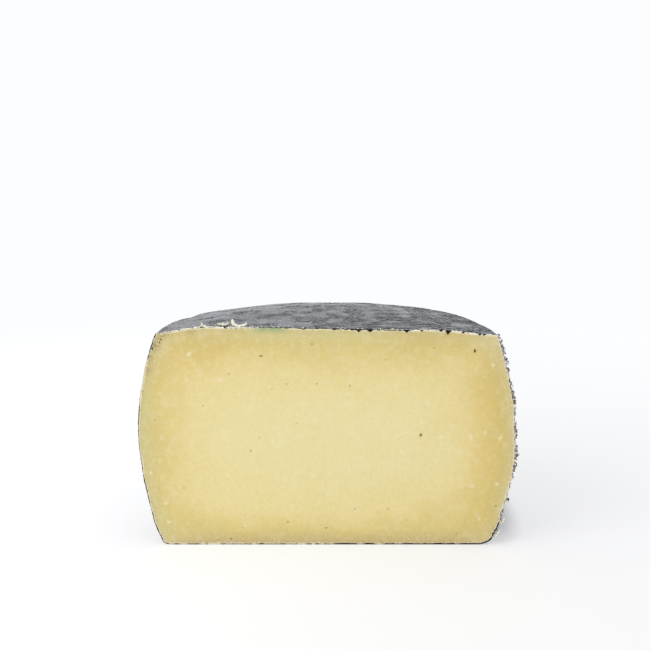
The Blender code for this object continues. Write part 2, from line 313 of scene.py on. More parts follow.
# %% Grid helpers
def grid_faces(columns, rows):
    """The faces of a grid whose points are listed row by row."""
    faces = []
    for row in range(rows):
        start = row * (columns + 1)
        for i in range(start, start + columns):
            faces.append((i, i + 1, i + columns + 2, i + columns + 1))
    return faces


def patch(low, high, left, right, across, up):
    """Points between four edges, row by row. The edges are read at the shares across and up."""
    u = across[None, :, None]
    v = up[:, None, None]
    rows = (1 - v) * low[None] + v * high[None]
    columns = (1 - u) * left[:, None] + u * right[:, None]
    corners = (1 - v) * ((1 - u) * low[0] + u * low[-1]) + v * ((1 - u) * high[0] + u * high[-1])
    return (rows + columns - corners).reshape(-1, low.shape[-1])


def in_scene(name, data):
    """A new object in the scene, of a mesh, a lamp or a camera."""
    obj = bpy.data.objects.new(name, data)
    bpy.context.scene.collection.objects.link(obj)
    return obj


def new_piece(name, points, faces):
    """A mesh object of these points and faces, shaded smooth."""
    mesh = bpy.data.meshes.new(name)
    mesh.from_pydata([tuple(point) for point in points], [], faces)
    mesh.shade_smooth()
    return in_scene(name, mesh)


def mark(obj, name, values):
    """Stores one number for each point, for the material to read."""
    attribute = obj.data.attributes.new(name, "FLOAT", "POINT")
    attribute.data.foreach_set("value", np.asarray(values, dtype=np.float32))


def dress(obj, look):
    """Gives a piece its material and ties it to the half wheel that it stands for."""
    obj.data.materials.clear()
    obj.data.materials.append(look)
    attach(obj, "root")
    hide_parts(SOLID)
    triangles = sum(len(face.vertices) - 2 for face in obj.data.polygons)
    print(obj.name, "has", triangles, "triangles")


# %% [markdown]
# ## The coat as one shell
# The top and the two halves of the side are separate pieces, so that each gets a texture of
# its own when the model is exported. A seam between two pieces shows as a line in the shading,
# so they are first welded into one shell, its normals are stored, and each piece keeps those
# normals when it is lifted out. The shell carries marks for the material: whether a point is
# on the side, and how close it is to the rim and the foot, where handling wears a coat.

# %% The coat's shell
TOP_COLUMNS = 384
TOP_ROWS = TOP_COLUMNS // 2
ROUND_STEPS = 4 * TOP_ROWS
SIDE_ROWS = 190
WELD = 0.00002
BASE_COLUMNS = 128
COAT_MARKS = ("down_side", "from_rim", "from_foot")


def half_disc(columns):
    """Points that fill a half disc of radius 1, between its straight edge and three arcs."""
    rows = columns // 2
    across = np.linspace(0.0, 1.0, columns + 1)
    up = np.linspace(0.0, 1.0, rows + 1)
    right_turn = up * math.pi / 4
    back_turn = math.pi * (0.75 - 0.5 * across)
    low = np.stack([2 * across - 1, np.zeros_like(across)], axis=1)
    high = np.stack([np.cos(back_turn), np.sin(back_turn)], axis=1)
    right = np.stack([np.cos(right_turn), np.sin(right_turn)], axis=1)
    return patch(low, high, right * [-1, 1], right, across, up)


def top_points():
    """The coated top's points, as far as the rounded rim."""
    points = []
    for x, y in half_disc(TOP_COLUMNS):
        radius = math.hypot(x, y) * FLAT_END
        azimuth = math.atan2(max(y, 0.0), x)
        slope = (top_height(radius + PATH_STEP) - top_height(radius)) / PATH_STEP
        length = math.hypot(slope, 1.0)
        points.append(coat(radius, azimuth, top_height(radius), -slope / length, 1.0 / length))
    return points


def side_points():
    """The points of the rim, the side and the foot, and how far down the section each lies."""
    rows = np.linspace(RIM_START, BASE_START, SIDE_ROWS + 1)
    points = []
    for radius, height, out, up in zip(*section(rows)):
        for step in range(ROUND_STEPS + 1):
            points.append(coat(radius, math.pi * step / ROUND_STEPS, height, out, up))
    return points, np.repeat(rows, ROUND_STEPS + 1)


top, (side, side_tape) = top_points(), side_points()
top_faces = grid_faces(TOP_COLUMNS, TOP_ROWS)
side_faces = [
    tuple(len(top) + i for i in reversed(face)) for face in grid_faces(ROUND_STEPS, SIDE_ROWS)
]
shell = new_piece("coat_shell", top + side, top_faces + side_faces)
top_reach = np.hypot(*half_disc(TOP_COLUMNS).T) * FLAT_END
shell_tape = np.concatenate([top_reach, side_tape])
RIM_CORNER = (RIM_START + SIDE_START) / 2
FOOT_CORNER = (FOOT_START + BASE_START) / 2
mark(shell, "down_side", np.clip((shell_tape - RIM_START) / (SIDE_START - RIM_START), 0.0, 1.0))
mark(shell, "from_rim", np.abs(shell_tape - RIM_CORNER))
mark(shell, "from_foot", np.abs(shell_tape - FOOT_CORNER))
side_regions = [1 if i % ROUND_STEPS < ROUND_STEPS // 2 else 2 for i in range(len(side_faces))]
shell.data.polygons.foreach_set("material_index", [0] * len(top_faces) + side_regions)


def weld_and_keep_normals(obj):
    """Joins the shell's patches along their shared edge and stores the normals of the whole."""
    shape = bmesh.new()
    shape.from_mesh(obj.data)
    bmesh.ops.remove_doubles(shape, verts=shape.verts, dist=WELD)
    shape.to_mesh(obj.data)
    shape.free()
    normals = np.zeros(len(obj.data.vertices) * 3, dtype=np.float32)
    obj.data.vertex_normals.foreach_get("vector", normals)
    attribute = obj.data.attributes.new("whole_normal", "FLOAT_VECTOR", "POINT")
    attribute.data.foreach_set("vector", normals)


def lift_out(obj, region, name):
    """One region of the shell as a piece of its own, with the normals of the whole."""
    mesh = obj.data.copy()
    mesh.name = name
    shape = bmesh.new()
    shape.from_mesh(mesh)
    others = [face for face in shape.faces if face.material_index != region]
    bmesh.ops.delete(shape, geom=others, context="FACES")
    for face in shape.faces:
        face.material_index = 0
    shape.to_mesh(mesh)
    shape.free()
    normals = np.zeros(len(mesh.vertices) * 3, dtype=np.float32)
    mesh.attributes["whole_normal"].data.foreach_get("vector", normals)
    mesh.attributes.remove(mesh.attributes["whole_normal"])
    mesh.normals_split_custom_set_from_vertices(normals.reshape(-1, 3))
    return in_scene(name, mesh)


weld_and_keep_normals(shell)
rind_top = lift_out(shell, 0, "rind_top")
rind_right = lift_out(shell, 1, "rind_right")
rind_left = lift_out(shell, 2, "rind_left")
bpy.data.objects.remove(shell)

base_places = [
    coat(math.hypot(x, y) * BASE_RADIUS, math.atan2(max(y, 0.0), x), 0.0, 0.0, -1.0)
    for x, y in half_disc(BASE_COLUMNS)
]
base_faces = [tuple(reversed(face)) for face in grid_faces(BASE_COLUMNS, BASE_COLUMNS // 2)]
rind_base = new_piece("rind_base", base_places, base_faces)
for needed in COAT_MARKS:
    mark(rind_base, needed, np.ones(len(rind_base.data.vertices)))
print("The shell has", len(top) + len(side), "points before welding")

# %% [markdown]
# ## The outline of the cut
# The cut face, the coat's cut edge, the torn bits and the crumbs all follow the outline of the
# cut. It is the section read once on each side of the axis, with the coat's relief, and its
# outward directions lie in the cut plane. It runs from the middle of the base by way of +X and
# the top to -X and back.

# %% The outline of the cut, finely
OUTLINE_STEP = 0.0003


def fine_outline():
    """Points, outward directions and distances round the cut."""
    half = np.arange(0.0, TAPE[-1], OUTLINE_STEP)
    rows = list(zip(*section(half)))
    right = [(coat(r, 0.0, h, out, up), Vector((out, 0.0, up))) for r, h, out, up in rows]
    left = [(coat(r, math.pi, h, out, up), Vector((-out, 0.0, up))) for r, h, out, up in rows]
    whole = right[::-1] + left[1:]
    points = np.array([point for point, _ in whole])
    outward = np.array([direction for _, direction in whole])
    steps = np.linalg.norm(np.diff(points, axis=0), axis=1)
    return points, outward, np.concatenate([[0.0], np.cumsum(steps)]), half[::-1]


RIM, RIM_OUT, RIM_TAPE, right_half = fine_outline()
ROUND_CUT = RIM_TAPE[-1]


def outline_at(distance):
    """Points and outward directions at distances round the cut."""
    return read_at(distance, RIM_TAPE, RIM), read_at(distance, RIM_TAPE, RIM_OUT)


def distance_of(half_distance, right):
    """The distance round the cut of a distance down the section, on the +X or the -X side."""
    index = int(round(half_distance / OUTLINE_STEP))
    middle = len(right_half) - 1
    return RIM_TAPE[middle - index if right else middle + index]


CORNERS = [
    distance_of(FOOT_CORNER, True),
    distance_of(RIM_CORNER, True),
    distance_of(RIM_CORNER, False),
    distance_of(FOOT_CORNER, False),
]
print("The cut's outline is", round(ROUND_CUT, 4), "m round")

# %% [markdown]
# ## The cut face
# A wire or a long knife leaves hard cheese with a smooth, faintly wavy face. It has small dark
# eyes and soft white crystals, and by the coat it is drier and darker. The face is one patch
# between the four stretches of the outline, with closer lines near the edge. Eyes are smaller
# than its cells, so the grid is first pulled in towards each eye and crystal, as a cloth is
# gathered to a point, and then there are enough points to sink a real pit.

# %% What shows in the cut face
# Eyes: X from the wheel's axis, height, half width, half height and how dark their painted shade is
EYES = (
    (0.0499, 0.0616, 0.00055, 0.00065, 1.0), (0.0771, 0.1072, 0.00045, 0.00085, 1.0),
    (-0.0340, 0.1045, 0.00075, 0.00035, 0.9), (-0.0399, 0.0528, 0.00045, 0.00045, 0.35),
    (0.0330, 0.0202, 0.00040, 0.00035, 0.35), (-0.0206, 0.0128, 0.00040, 0.00045, 0.35),
    (-0.0508, 0.0949, 0.00045, 0.00030, 0.45), (-0.0648, 0.0775, 0.00040, 0.00030, 0.40),
    (-0.0902, 0.0699, 0.00028, 0.00030, 0.55), (-0.0285, 0.0868, 0.00030, 0.00030, 0.30),
    (-0.0206, 0.0895, 0.00030, 0.00030, 0.50), (-0.0049, 0.0895, 0.00035, 0.00030, 0.55),
    (-0.0075, 0.1109, 0.00040, 0.00035, 0.60), (-0.0155, 0.0682, 0.00045, 0.00030, 0.30),
    (0.0310, 0.1024, 0.00045, 0.00025, 0.40), (0.0123, 0.0884, 0.00040, 0.00030, 0.60),
    (0.0558, 0.1088, 0.00030, 0.00035, 0.35), (-0.0351, 0.0600, 0.00030, 0.00030, 0.25),
    (-0.0760, 0.0321, 0.00035, 0.00035, 0.45), (-0.0002, 0.0094, 0.00040, 0.00035, 0.70),
    (-0.0514, 0.0031, 0.00040, 0.00040, 0.75), (0.0153, 0.0202, 0.00035, 0.00030, 0.55),
    (0.0908, 0.0219, 0.00035, 0.00035, 0.65), (0.0249, 0.0259, 0.00030, 0.00025, 0.25),
    (-0.0450, 0.0095, 0.00030, 0.00030, 0.30), (0.0430, 0.0140, 0.00035, 0.00025, 0.30),
    (0.0700, 0.0060, 0.00030, 0.00035, 0.35), (0.0120, 0.0860, 0.00055, 0.00025, 0.20),
)
EYE_DEPTH_SHARE = 1.3

# Crystals and pale lumps: X from the wheel's axis, height, radius and strength
CRYSTALS = (
    (-0.0714, 0.1056, 0.0013, 1.0), (-0.0556, 0.0916, 0.0014, 0.7), (-0.0733, 0.0916, 0.0011, 0.6),
    (0.0867, 0.0997, 0.0010, 1.0), (0.0533, 0.0792, 0.0014, 0.7), (0.0503, 0.0688, 0.0009, 0.8),
    (-0.0283, 0.0583, 0.0010, 0.7), (-0.0524, 0.0394, 0.0011, 0.6), (-0.0066, 0.0388, 0.0011, 0.9),
    (-0.0162, 0.0349, 0.0009, 0.8), (-0.0719, 0.0450, 0.0018, 0.3), (-0.0883, 0.0472, 0.0012, 0.5),
    (-0.0933, 0.0405, 0.0009, 0.8), (-0.0858, 0.0236, 0.0013, 0.8), (-0.0846, 0.0128, 0.0011, 0.9),
    (0.0610, 0.0605, 0.0012, 0.8), (0.0644, 0.0539, 0.0011, 0.6), (0.0763, 0.0605, 0.0013, 0.9),
    (0.0837, 0.0627, 0.0011, 0.7), (0.0917, 0.0600, 0.0012, 0.8), (0.0400, 0.0522, 0.0012, 0.7),
    (0.0776, 0.0332, 0.0013, 0.8), (0.0909, 0.0343, 0.0010, 1.0), (0.0819, 0.0145, 0.0010, 0.7),
    (0.0373, 0.0607, 0.0008, 1.1), (0.0402, 0.0625, 0.0006, 1.0), (0.0425, 0.0631, 0.0005, 1.1),
    (0.0388, 0.0618, 0.0006, 1.2), (-0.0850, 0.0790, 0.0021, 0.3), (-0.0870, 0.0600, 0.0015, 0.3),
)

# A crystal shows as this share of its pale patch
CRYSTAL_SHARE = 0.85

# Blue-green mould under the top edge: from and to along X, and how far down it reaches
MOULD = (-0.0395, -0.0175, 0.0037)

# Dry, whitish paste: X from the wheel's axis, height, spread and strength
FROST = (
    (0.0890, 0.1140, 0.0120, 0.7), (-0.0880, 0.1060, 0.0100, 0.45), (0.0880, 0.0050, 0.0080, 0.4),
    (-0.0660, 0.1172, 0.0045, 0.4), (-0.0580, 0.1178, 0.0040, 0.3),
)
# The same along the whole +X side: how far in it reaches, its strength and where it begins
FROST_BAND = (0.0030, 0.7, FOOT_RADIUS - 0.008)

# Paste darker and pinker by the base: how far up, how far out along X, and how wide it fades there
BASE_TINGE = (0.0085, 0.088, 0.022)

# Warmer, yellower paste: where it begins and is full along X, the same in height, and strength
WARM = (
    (0.0600, 0.0880, -0.0100, -0.0050, 1.0),
    (-0.0350, -0.0600, 0.0800, 0.1020, 0.9),
    (0.0200, 0.0500, 0.1020, 0.1140, 0.9),
)

# Paler paste low down: X from the wheel's axis, height, half width, spread in height, and share
PALE_LOW = (-0.0120, 0.0160, 0.0620, 0.0130, 0.35)

# Grey-brown stains by the coat: X from the wheel's axis, height, spread and strength
STAINS = (
    (-0.0900, 0.1100, 0.0036, 1.0), (-0.0925, 0.1030, 0.0028, 0.9), (-0.0700, 0.1185, 0.0030, 0.5),
    (-0.0870, 0.1160, 0.0034, 0.9), (0.0915, 0.0070, 0.0030, 0.6), (-0.0935, 0.0970, 0.0022, 0.7),
)

# %% The grid of the cut face
FACE_COLUMNS = 340
FACE_ROWS = 204
BASE_SAMPLES = 400
EDGE_CLOSENESS = 0.5
UNDER_COAT = 0.00004
GATHER_REACH = 0.0042
GATHER_LEFT = 0.34
GATHER_ROOM = 0.9
SHALLOWEST = 0.0005
BLOCK = 64


def closer_at_ends(count):
    """Shares from 0 to 1 that lie closer together at both ends."""
    even = np.linspace(0.0, 1.0, count + 1)
    return even - EDGE_CLOSENESS * np.sin(2 * math.pi * even) / (2 * math.pi)


def face_edge(start, end, shares):
    """X and height along a stretch of the outline, just under the coat."""
    points, outward = outline_at(start + (end - start) * shares)
    return (points - outward * UNDER_COAT)[:, [0, 2]]


def face_grid():
    """The cut face's points as X and height, between the four stretches of the outline."""
    across, up = closer_at_ends(FACE_COLUMNS), closer_at_ends(FACE_ROWS)
    right_foot, right_rim, left_rim, left_foot = CORNERS
    even = np.linspace(0.0, 1.0, BASE_SAMPLES)
    low_left = face_edge(left_foot, ROUND_CUT, even)
    low_right = face_edge(0.0, right_foot, even)
    low_points = np.vstack([low_left, low_right[1:]])
    low = read_at(across, np.linspace(0.0, 1.0, len(low_points)), low_points)
    high = face_edge(left_rim, right_rim, across)
    left = face_edge(left_foot, left_rim, up)
    right = face_edge(right_foot, right_rim, up)
    return patch(low, high, left, right, across, up)


def rim_distance(points):
    """How far each point is from the outline, and how deep it lies with regard to all of it.

    The second number adds up what reaches a point from every part of the outline, as drying
    does. By a long straight edge both are the same, and in a corner the second is smaller.
    """
    line = RIM[::2][:, [0, 2]]
    steps = np.gradient(RIM_TAPE[::2])
    nearest = np.full(len(points), 1.0)
    reached = np.zeros(len(points))
    for start in range(0, len(line), BLOCK):
        block = line[start : start + BLOCK]
        gaps = np.hypot(
            points[:, None, 0] - block[None, :, 0], points[:, None, 1] - block[None, :, 1]
        )
        nearest = np.minimum(nearest, gaps.min(axis=1))
        gaps = np.maximum(gaps, SHALLOWEST)
        reached += (steps[start : start + BLOCK] / gaps**3).sum(axis=1)
    return nearest, np.minimum((reached / 2) ** -0.5, np.maximum(nearest, SHALLOWEST))


def gather(points, spots):
    """Pulls the grid in towards each spot, so that the spot has small cells."""
    for x, height, *_ in spots:
        centre = np.array([AXIS_X + x, height])
        room = float(rim_distance(centre[None])[0][0]) * GATHER_ROOM
        reach = min(GATHER_REACH, room)
        away = points - centre
        gap = np.hypot(*away.T)
        t = np.clip(gap / reach, 0.0, 1.0)
        points = centre + away * (GATHER_LEFT + (1 - GATHER_LEFT) * t * t * (3 - 2 * t))[:, None]
    return points


def spots_mask(points, spots, edge):
    """A soft round mask at each spot of (X, height, radius, strength)."""
    mask = np.zeros(len(points))
    for number, (x, height, radius, strength) in enumerate(spots):
        away = points - np.array([AXIS_X + x, height])
        turn = np.arctan2(away[:, 1], away[:, 0])
        lobes = 1 + 0.22 * np.sin(2 * turn + number) + 0.14 * np.sin(3 * turn + 2.3 * number)
        gap = np.hypot(*away.T) / (CRYSTAL_SHARE * radius * lobes)
        mask = np.maximum(mask, strength * np.clip((1.0 + edge - gap) / (2 * edge), 0.0, 1.0))
    return mask


face_plan = gather(face_grid(), EYES + CRYSTALS)
from_rim, ripeness = rim_distance(face_plan)
print("The cut face has", len(face_plan), "points, the deepest", round(from_rim.max(), 4), "m in")

# %% [markdown]
# ## Relief of the cut face
# The relief is small, and it is still geometry: long shallow waves from the blade, a rough
# band by the coat, a burr where the blade left the cheese, and the eyes as real pits. The
# outermost line of the face is tucked back, so that it ends behind the coat's cut edge.

# %% The cut face itself
WAVE_DEPTH = 0.00007
DRAG_DEPTH = 0.000025
# How many to the metre: waves along X and in height, and drag marks along X, by their slant
# and in height
WAVE_SCALES = (26.0, 60.0)
DRAG_SCALES = (90.0, 40.0, 700.0)
BURR = 0.00016
BURR_PLACE = 0.0007
BURR_WIDTH = 0.0004
BURR_SIZE = 0.0022
ROUGH_BAND = 0.0045
ROUGH_DEPTH = 0.00006
ROUGH_SIZE = 0.0011
ROUGH_FRACTAL = (0.9, 2.0, 3)
TUCK = 0.00012
TUCK_WIDTH = 0.00012


def face_relief(x, height, gap):
    """How far the cut face stands forward at a place, in metres."""
    place = Vector((x, height, 0.0))
    wave_x, wave_up = WAVE_SCALES
    waves = WAVE_DEPTH * noise.noise(Vector((x * wave_x, height * wave_up, 1.0)))
    drag_x, drag_slant, drag_up = DRAG_SCALES
    dragged = Vector((x * drag_x + height * drag_slant, height * drag_up, 4.0))
    drag = DRAG_DEPTH * noise.noise(dragged)
    near_coat = 1.0 - smoothstep(0.0, ROUGH_BAND, gap)
    rough = ROUGH_DEPTH * near_coat * noise.fractal(place / ROUGH_SIZE, *ROUGH_FRACTAL)
    burr_height = 0.6 + 0.8 * noise.noise(place / BURR_SIZE)
    burr = BURR * burr_height * math.exp(-(((gap - BURR_PLACE) / BURR_WIDTH) ** 2))
    tuck = TUCK * (1.0 - smoothstep(0.0, TUCK_WIDTH, gap))
    return waves + drag + rough + burr - tuck


def eye_depth(points):
    """How deep each point lies in an eye, in metres, and how dark its painted shade is, as a share.
    """
    depth = np.zeros(len(points))
    dark = np.zeros(len(points))
    for x, height, half_width, half_height, strength in EYES:
        away = points - np.array([AXIS_X + x, height])
        gap = np.hypot(away[:, 0] / half_width, away[:, 1] / half_height)
        inside = np.sqrt(np.clip(1.0 - gap * gap, 0.0, 1.0))
        depth = np.maximum(depth, half_height * EYE_DEPTH_SHARE * inside)
        dark = np.maximum(dark, strength * np.clip(1.5 - gap, 0.0, 1.0))
    return depth, dark


def clouds_mask(points, clouds):
    """A mask that fades away from the middle of each cloud of (X, height, spread, strength)."""
    mask = np.zeros(len(points))
    for x, height, spread, strength in clouds:
        gap = np.hypot(points[:, 0] - AXIS_X - x, points[:, 1] - height)
        mask = np.maximum(mask, strength * np.exp(-((gap / spread) ** 2)))
    return mask


def paler_low_down(points):
    """How much deeper the paste seems to lie over the middle of the base, as a factor."""
    x, height, half_width, spread, added = PALE_LOW
    near = np.clip((half_width - np.abs(points[:, 0] - AXIS_X - x)) / (0.4 * half_width), 0.0, 1.0)
    return 1.0 + added * near * np.exp(-(((points[:, 1] - height) / spread) ** 2))


def between(x, height, zone):
    """A mask that rises from where a zone begins to where it is full, both ways."""
    x_start, x_full, low, high, strength = zone
    along_x = np.clip((x - x_start) / (x_full - x_start), 0.0, 1.0)
    along_height = np.clip((height - low) / (high - low), 0.0, 1.0)
    return strength * along_x * along_x * (3 - 2 * along_x) * along_height


forward = np.array([face_relief(x, z, gap) for (x, z), gap in zip(face_plan, from_rim)])
pit_depth, pit_shade = eye_depth(face_plan)
face_y = CUT_Y - forward + pit_depth
cut_face = new_piece(
    "cut_face",
    np.stack([face_plan[:, 0], face_y, face_plan[:, 1]], axis=1),
    grid_faces(FACE_COLUMNS, FACE_ROWS),
)

face_x, face_z = face_plan[:, 0] - AXIS_X, face_plan[:, 1]
mould_start, mould_end, mould_reach = MOULD
along_mould = (face_x - mould_start) / (mould_end - mould_start)
mould = np.clip(1.15 * (1.0 - from_rim / mould_reach), 0.0, 0.9)
mould *= face_z > BELLY_HEIGHT
mould *= np.clip(4.0 * along_mould, 0.0, 1.0) * np.clip(3.0 * (1.0 - along_mould), 0.0, 1.0)
tinged_up_to, tinged_out_to, tinge_fade = BASE_TINGE
by_base = np.clip(1.0 - face_z / tinged_up_to, 0.0, 1.0)
by_base *= np.clip((tinged_out_to - np.abs(face_x)) / tinge_fade, 0.0, 1.0)
frost_reach, frost_strength, frost_from = FROST_BAND
frost_band = frost_strength * np.exp(-((from_rim / frost_reach) ** 2)) * (face_x > frost_from)
mark(cut_face, "from_coat", from_rim)
mark(cut_face, "ripening", ripeness * paler_low_down(face_plan))
mark(cut_face, "by_base", by_base)
# The eyes' darkening is painted shade in and round their pits
mark(cut_face, "eye", pit_shade)
mark(cut_face, "crystal", spots_mask(face_plan, CRYSTALS, 0.45))
mark(cut_face, "mould", mould)
mark(cut_face, "frost", np.maximum(clouds_mask(face_plan, FROST), frost_band))
mark(cut_face, "warm", np.max([between(face_x, face_z, zone) for zone in WARM], axis=0))
mark(cut_face, "stain", clouds_mask(face_plan, STAINS))
print("The deepest eye is", round(pit_depth.max() * 1000, 2), "mm deep")

# %% [markdown]
# ## The coat's cut edge
# Seen from the front, the coat is a thin dark line round the paste. The blade pulls it, so the
# line swells, thins, breaks off in places, and is pushed into the face here and there. It is
# one strip round the whole outline: over the coat's edge, forward over the face by the coat's
# thickness, and back into the paste, so its inner border is a ragged crossing of two surfaces.

# %% The strip round the cut
STRIP_STEP = 0.00028
COAT_THIN = 0.00006
COAT_THICK = 0.00060
STRIP_FORWARD = 0.00010
THICK_FORWARD = 0.00022
FAR_FROM_WEAR = 0.02
MEAN_SHARE = 0.45
THICKEST_SHARE = 1.4
# Ripples in the coat's thickness: share, length, and two numbers that pick a row of noise
THICKNESS_RIPPLES = ((0.8, 0.021, 3.0, 0.0), (0.55, 0.0024, 0.0, 5.0), (0.30, 0.0009, 8.0, 1.0))
# Nicks where the coat is pushed into the face: X from the wheel's axis, depth and half width
NICKS = (
    (0.0166, 0.0013, 0.0009), (0.0225, 0.0011, 0.0011), (0.0416, 0.0012, 0.0007),
    (0.0494, 0.0007, 0.0005), (0.0130, 0.0006, 0.0006), (0.0040, 0.0006, 0.0008),
    (0.0592, 0.0008, 0.0005), (0.0629, 0.0020, 0.0009), (0.0708, 0.0007, 0.0006),
    (0.0794, 0.0009, 0.0007), (0.0815, 0.0008, 0.0005), (-0.0120, 0.0006, 0.0007),
)
# Stretches where the line is thicker or worn away: side, from and to in height, share added
LINE_WEIGHTS = (
    (-1, 0.0800, 0.1020, -1.0), (-1, 0.0680, 0.0775, 0.2), (-1, 0.0020, 0.0180, 0.4),
    (-1, 0.1030, 0.1160, 0.2), (-1, 0.0300, 0.0660, 0.1), (-1, 0.0000, 0.0020, 0.2),
    (1, 0.0200, 0.0790, -0.3), (1, 0.0795, 0.0915, 0.3), (1, 0.0920, 0.1160, -0.4),
    (1, 0.0010, 0.0110, 1.3),
)
WEIGHT_FADE = 0.002
BASE_WEIGHT = 0.05
BASE_BREAKS = 1.3
BASE_BREAK_LENGTH = 0.0052
BASE_FADE = (0.0005, 0.0020)


def ripple(distance, length, *row):
    """Noise along a line, with swells of about this length. The row picks which noise."""
    return noise.noise(Vector((distance / length, *row)))


def coat_thickness(distance, point):
    """The coat's thickness at a place round the cut, with its nicks and worn stretches."""
    share = MEAN_SHARE
    for amount, length, *row in THICKNESS_RIPPLES:
        share += amount * ripple(distance, length, *row)
    for side, low, high, added in LINE_WEIGHTS:
        if side * point[0] > 0:
            above = smoothstep(low - WEIGHT_FADE, low, point[2])
            share += added * above * (1.0 - smoothstep(high, high + WEIGHT_FADE, point[2]))
    breaks = BASE_BREAKS * ripple(distance, BASE_BREAK_LENGTH, 7.0, 4.0)
    share += (BASE_WEIGHT + breaks) * (1.0 - smoothstep(*BASE_FADE, point[2]))
    thickness = COAT_THIN + (COAT_THICK - COAT_THIN) * min(max(share, 0.0), THICKEST_SHARE)
    if point[2] > RIM_HEIGHT - SIDE_BELOW_RIM:
        for x, depth, half_width in NICKS:
            away = (point[0] - AXIS_X - x) / half_width
            thickness += depth * math.exp(-away * away)
    return thickness


def strip_rows(distance, point, outward):
    """The strip's points at one place, from behind the coat's surface into the paste."""
    thickness = coat_thickness(distance, point)
    lift = STRIP_FORWARD * (0.75 + 0.5 * ripple(distance, 0.0016, 2.0, 9.0))
    lift += THICK_FORWARD * smoothstep(0.5 * COAT_THICK, COAT_THICK, thickness)
    profile = (
        (-0.00002, -0.0008),
        (-0.00003, -0.00008),
        (0.00003, lift * 0.8),
        (0.45 * thickness, lift),
        (0.90 * thickness, lift * 0.6),
        (1.15 * thickness + 0.00004, -0.0004),
    )
    return [
        point - outward * inward + np.array([0.0, -ahead, 0.0]) for inward, ahead in profile
    ]


def strip_faces(steps, rows, closed):
    """The faces of a strip whose points are listed step by step."""
    faces = []
    for step in range(steps if closed else steps - 1):
        start, after = step * rows, (step + 1) % steps * rows
        for row in range(rows - 1):
            faces.append((start + row, after + row, after + row + 1, start + row + 1))
    return faces


strip_tape = np.linspace(0.0, ROUND_CUT, int(ROUND_CUT / STRIP_STEP))[:-1]
strip_points = []
for distance, point, outward in zip(strip_tape, *outline_at(strip_tape)):
    strip_points += strip_rows(distance, point, outward)
strip_points = [(x, y, max(z, 0.0)) for x, y, z in strip_points]
STRIP_ROWS = len(strip_points) // len(strip_tape)
coat_edge = new_piece("coat_edge", strip_points, strip_faces(len(strip_tape), STRIP_ROWS, True))
for needed in COAT_MARKS:
    mark(coat_edge, needed, np.full(len(coat_edge.data.vertices), FAR_FROM_WEAR))
print("The strip has", len(strip_tape), "steps")

# %% [markdown]
# ## The torn lip of paste
# Where the blade came through the top, it raised a thin lip of paste over the coat. The lip is
# dry and nearly white, and it draws a bright, ragged line along the top edge: whole on the
# left, hardly there in the middle, and broken by the nicks of black coat on the right. It is a
# thin wedge along the edge. Where noise brings its height to nothing, it dips into the paste.

# %% The lip along the top edge
LIP_STEP = 0.0002
LIP_DIP = 0.0004
LIP_LEAST = 0.00004
LIP_LEAN = 0.00010
# Ripples in the lip's height: share, length, and two numbers that pick a row of noise
LIP_MEAN = 0.8
LIP_RIPPLES = ((1.5, 0.0030, 6.0, 0.0), (1.3, 0.0009, 2.0, 3.0))
# How far the lip stands up: X from the wheel's axis and height
LIP_HEIGHTS = (
    (-0.0890, 0.00010), (-0.0850, 0.00026), (-0.0700, 0.00032), (-0.0520, 0.00036),
    (-0.0420, 0.00024), (-0.0340, 0.00000), (0.0250, 0.00000), (0.0340, 0.00016),
    (0.0560, 0.00018), (0.0700, 0.00026), (0.0830, 0.00036), (0.0872, 0.00010),
)


def lip_height(x):
    """How far the lip of paste stands over the coat at an X from the wheel's axis."""
    mean = np.interp(x, [row[0] for row in LIP_HEIGHTS], [row[1] for row in LIP_HEIGHTS])
    ragged = LIP_MEAN
    for amount, length, *row in LIP_RIPPLES:
        ragged += amount * ripple(x, length, *row)
    height = mean * ragged
    for nick_x, depth, half_width in NICKS:
        away = (x - nick_x) / half_width
        height -= depth * math.exp(-away * away)
    return height


def lip_rows(point, outward):
    """The lip's points at one place, from the face over the tip to the coat."""
    height = lip_height(point[0] - AXIS_X)
    stand = max(height, -LIP_DIP)
    sunk = 0.0 if height > LIP_LEAST else LIP_DIP
    lean = LIP_LEAN * ripple(point[0], 0.0014, 1.0, 8.0)
    profile = (
        (-0.0006, -0.00008),
        (-0.0001, 0.00010),
        (0.45 * stand, 0.00013 + lean),
        (stand, lean),
        (0.55 * stand, -0.00022 + lean),
        (-0.0002, -0.00045),
    )
    return [
        point + outward * out + np.array([0.0, sunk - ahead, 0.0]) for out, ahead in profile
    ]


lip_tape = np.arange(CORNERS[1], CORNERS[2], LIP_STEP)
lip_points = []
for point, outward in zip(*outline_at(lip_tape)):
    lip_points += lip_rows(point, outward)
LIP_ROWS = len(lip_points) // len(lip_tape)
paste_lip = new_piece("paste_lip", lip_points, strip_faces(len(lip_tape), LIP_ROWS, False))
mark(paste_lip, "which", np.full(len(lip_points), 0.1))
print("The lip runs", round(lip_tape[-1] - lip_tape[0], 4), "m along the top edge")

# %% [markdown]
# ## Torn coat and crumbs
# On the side where the blade came out, it tore the coat, and small dark and pale shreds stand
# out all the way down. Crumbs of paste lie along the top edge. Where they lie is the same
# seeded rule as in the solid. The solid has one lump for each, and here each lump becomes a
# loose cluster of flakes, because torn bits this small are mostly gaps. A flake is a squashed
# icosphere, roughened by noise and turned at random.

